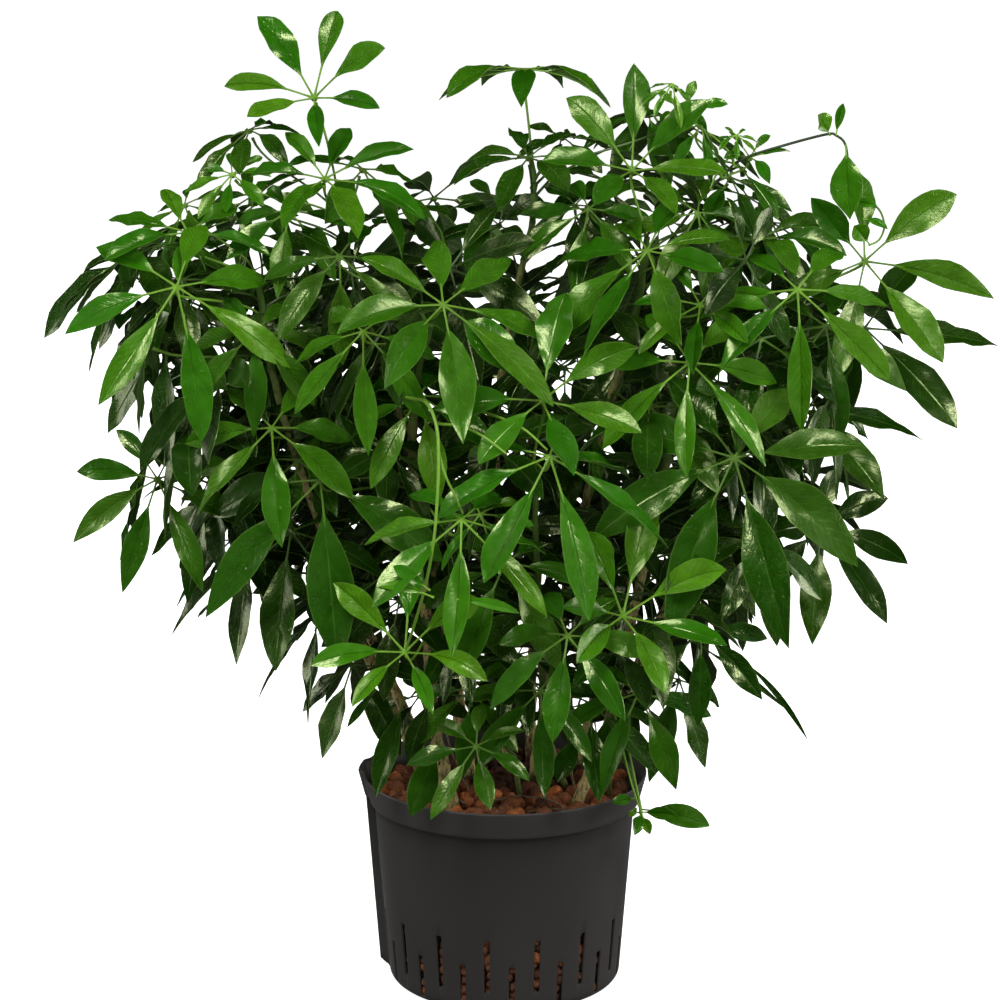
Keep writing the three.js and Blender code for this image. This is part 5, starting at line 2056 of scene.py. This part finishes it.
@dataclass
class ClayPebbles:
    """The filling: loose fired clay stones on top and behind the slots, over a dark bed of painted
    shade.
    """

    pot: CulturePot
    stems: Sequence[Stem]
    clay: ClayFinish
    depth: ShadedDepthFinish
    level: float = 175
    mound: float = 5
    top: float = 186
    bed_inset: float = 10
    stone_radius: tuple[float, float] = (4.8, 8.6)
    top_reach: float = 116
    layers: tuple[tuple[float, float], ...] = ((-12.5, 12.6), (-4.2, 14.2))
    row_share: float = 0.87
    jitter: float = 2.6
    slot_step: float = 8.5

    def build(self) -> bpy.types.Object:
        """Returns: the filling."""
        growth = Growth()
        draw = random.Random("clay stones")
        for drop, pitch in self.layers:
            self._add_layer(growth, draw, drop, pitch)
        self._add_slot_stones(growth, draw)
        self._add_bed(growth)
        finishes = [self.depth.material(), self.clay.material()]
        return growth.piece("clay_stones", "fired_clay", finishes, ["clay_pebbles"], 70)

    def _mound_at(self, x: float, y: float) -> float:
        """The filling's height over a point."""
        return self.level + self.mound * (1 - (x * x + y * y) / 125**2)

    def _add_bed(self, growth: Growth) -> None:
        """Adds the dark bed under and between the stones, which is painted shade."""
        foot = self.pot.base_radius - self.bed_inset
        top = self.level - 12
        bmesh.ops.create_cone(
            growth.shape, cap_ends=True, segments=64, radius1=foot,
            radius2=self.pot.wall_radius(top) - self.bed_inset, depth=top - 6,
            matrix=Matrix.Translation((0, 0, (top + 6) / 2)),
        )

    def _add_stone(self, growth: Growth, draw: random.Random, centre: Vector, radius: float) -> None:
        """Adds one stone of its own shape and turn."""
        turn = Euler([draw.uniform(0, TURN) for _ in range(3)]).to_matrix()
        size = Matrix.Diagonal([radius * draw.uniform(0.82, 1.14) for _ in range(3)])
        growth.stone(centre, turn @ size, draw.random(), 0.32, 1)

    def _add_layer(self, growth: Growth, draw: random.Random, drop: float, pitch: float) -> None:
        """Adds one layer of loose stones."""
        rows = int(self.top_reach / (pitch * self.row_share)) + 1
        for row in range(-rows, rows + 1):
            for column in range(-rows, rows + 1):
                x = (column + (row % 2) / 2) * pitch + draw.uniform(-self.jitter, self.jitter)
                y = row * pitch * self.row_share + draw.uniform(-self.jitter, self.jitter)
                radius = draw.uniform(*self.stone_radius)
                z = self._mound_at(x, y) + drop + draw.uniform(-2.2, 2.8)
                z = min(z, self.top - radius * 1.12)
                place = Vector((x, y, z))
                if math.hypot(x, y) > self.top_reach - radius * 1.25 or self._in_stem(place, radius):
                    continue
                self._add_stone(growth, draw, place, radius)

    def _in_stem(self, place: Vector, radius: float) -> bool:
        """Whether a stone would stand in a stem."""
        for stem in self.stems:
            points = stem.points()
            for a, b in zip(points, points[1:]):
                share = clamped((place - a).dot(b - a) / (b - a).length_squared)
                if (a.lerp(b, share) - place).length < stem.foot_radius + radius * 0.75:
                    return True
        return False

    def _add_slot_stones(self, growth: Growth, draw: random.Random) -> None:
        """Adds the stones that show through the slots."""
        for number in range(self.pot.slots):
            low, high = self.pot.lower_slot if number % 2 == 0 else self.pot.upper_slot
            look = self.pot.first_slot_bearing + number * 360 / self.pot.slots
            z = max(low - 2, 9.0)
            while z < high + 4:
                radius = draw.uniform(4.2, 6.4)
                inside = self.pot.wall_radius(z) - self.pot.wall - radius * 1.02 - draw.uniform(0, 1)
                side = bearing(look + 90) * draw.uniform(-3.5, 3.5)
                self._add_stone(growth, draw, bearing(look) * inside + side + UP * z, radius)
                z += self.slot_step * draw.uniform(0.8, 1.15)


@dataclass
class AirRoots:
    """Thin pale roots that hang from the trunks and lie on the stones."""

    finish: RootFinish
    routes: tuple[tuple[str, float, tuple[Place, ...]], ...] = (
        (
            "front_right_stem", 1.1,
            ((68, 2, 262), (63, -6, 235), (58, -12, 208), (61, -16, 184), (66, -20, 172)),
        ),
        ("front_right_stem", 0.8, ((74, 0, 250), (80, -8, 226), (84, -16, 200), (80, -22, 176))),
        ("front_left_stem", 0.9, ((-52, 0, 226), (-44, -12, 204), (-36, -22, 187), (-30, -30, 179))),
        (
            "clay_pebbles", 0.8,
            ((-8, -52, 178), (8, -58, 184), (26, -57, 183.5), (44, -66, 182), (52, -70, 176)),
        ),
        ("clay_pebbles", 0.7, ((-70, -38, 178), (-58, -48, 184), (-44, -53, 183), (-32, -62, 178))),
        ("clay_pebbles", 0.6, ((20, -78, 176), (30, -84, 181), (44, -82, 181), (58, -76, 176))),
    )

    def build(self) -> bpy.types.Object:
        """Returns: the roots."""
        growth = Growth()
        draw = random.Random("air roots")
        for _, radius, route in self.routes:
            curve = [p for p, _ in rounded_path(vectors(route), 4)]
            spots = [
                p + Vector([noise.noise(p * 0.09 + Vector((7 * i, 0, 0))) for i in range(3)]) * 2.2
                for p in curve
            ]
            growth.rod(spots, [radius * draw.uniform(0.8, 1.15) for _ in spots], 7, 0.5, draw.random())
        nodes = sorted({node for node, _, _ in self.routes})
        return growth.piece("air_roots", "foliage", [self.finish.material()], nodes)


# ---- Studio ----------------------------------------------------------------------------------------


@dataclass
class Studio:
    """The pale floor, the soft lights and the camera."""

    floor: FloorFinish
    camera_pitch: float = math.radians(76)
    lens: float = 141.5
    sensor: float = 36
    aim: Place = (0.0, 0.0, 0.45)
    sky: float = 0.15
    lamps: tuple[tuple[str, Place, float, float, bool], ...] = (
        ("key", (-0.9, -2.1, 2.8), 1.4, 68, True),
        ("second_key", (1.7, -1.9, 2.3), 1.0, 35, True),
        ("bounce", (0.1, -2.0, 0.05), 1.2, 8, False),
        ("front", (0.5, -3.6, 0.9), 1.5, 16, False),
        ("right_side", (2.3, 0.4, 0.5), 1.3, 24, True),
        ("left_side", (-2.2, 0.4, 0.5), 1.3, 14, True),
        ("back", (-0.3, 2.6, 2.2), 1.4, 60, False),
    )  # each one's place, size, power and whether glossy faces mirror it

    def build(self) -> None:
        """Sets it all up."""
        self.build_floor()
        self.light_world()
        for lamp in self.lamps:
            self.hang_lamp(*lamp)
        self.place_camera()
        bpy.context.scene.view_settings.view_transform = "Standard"

    def build_floor(self) -> None:
        """Lays the floor."""
        shape = bmesh.new()
        bmesh.ops.create_grid(shape, x_segments=4, y_segments=4, size=30)
        mesh = bpy.data.meshes.new("studio_floor")
        shape.to_mesh(mesh)
        shape.free()
        mesh.materials.append(self.floor.material())
        made = bpy.data.objects.new("studio_floor", mesh)
        made.visible_diffuse = False
        made.visible_glossy = False
        bpy.context.scene.collection.objects.link(made)

    def light_world(self) -> None:
        """Surrounds the studio with even light."""
        world = bpy.data.worlds.new("studio")
        world.use_nodes = True
        bpy.context.scene.world = world
        background = world.node_tree.nodes["Background"]
        background.inputs["Color"].default_value = (1, 1, 1, 1)
        background.inputs["Strength"].default_value = self.sky
        world.cycles_visibility.glossy = False

    def hang_lamp(self, name: str, place: Place, size: float, power: float, glossy: bool) -> None:
        """Hangs a soft lamp that points at the middle of the plant."""
        data = bpy.data.lights.new(name, "AREA")
        data.shape = "DISK"
        data.size = size
        data.energy = power
        lamp = bpy.data.objects.new(name, data)
        lamp.location = place
        lamp.visible_glossy = glossy
        lamp.visible_camera = False
        way = Vector(self.aim) - Vector(place)
        lamp.rotation_euler = way.to_track_quat("-Z", "Y").to_euler()
        bpy.context.scene.collection.objects.link(lamp)

    def place_camera(self) -> None:
        """Stands the camera where the photograph was taken from."""
        data = bpy.data.cameras.new("camera")
        data.sensor_width = self.sensor
        data.lens = self.lens
        camera = bpy.data.objects.new("camera", data)
        camera.location = CAMERA_PLACE * MM
        camera.rotation_euler = (self.camera_pitch, 0, 0)
        bpy.context.scene.collection.objects.link(camera)
        bpy.context.scene.camera = camera


def main() -> None:
    """Builds the plant, its pot and the studio."""
    logging.basicConfig(level=logging.INFO, format="%(message)s", stream=sys.stdout)
    Studio(FloorFinish()).build()
    foliage = Foliage(STEMS)
    foliage.settle()
    bark, stalk = BarkFinish().material(), StalkFinish().material()
    upper, under = LeafFinish().material(), UnderleafFinish().material()
    for stem in STEMS:
        leaves = [leaf for leaf in foliage.leaves if leaf.stem is stem]
        LeafyStem(stem, leaves, bark, stalk, upper, under).build()
    pot = CulturePot(PotFinish())
    pot.build()
    ClayPebbles(pot, STEMS, ClayFinish(), ShadedDepthFinish()).build()
    AirRoots(RootFinish()).build()


if __name__ == "__main__":
    main()
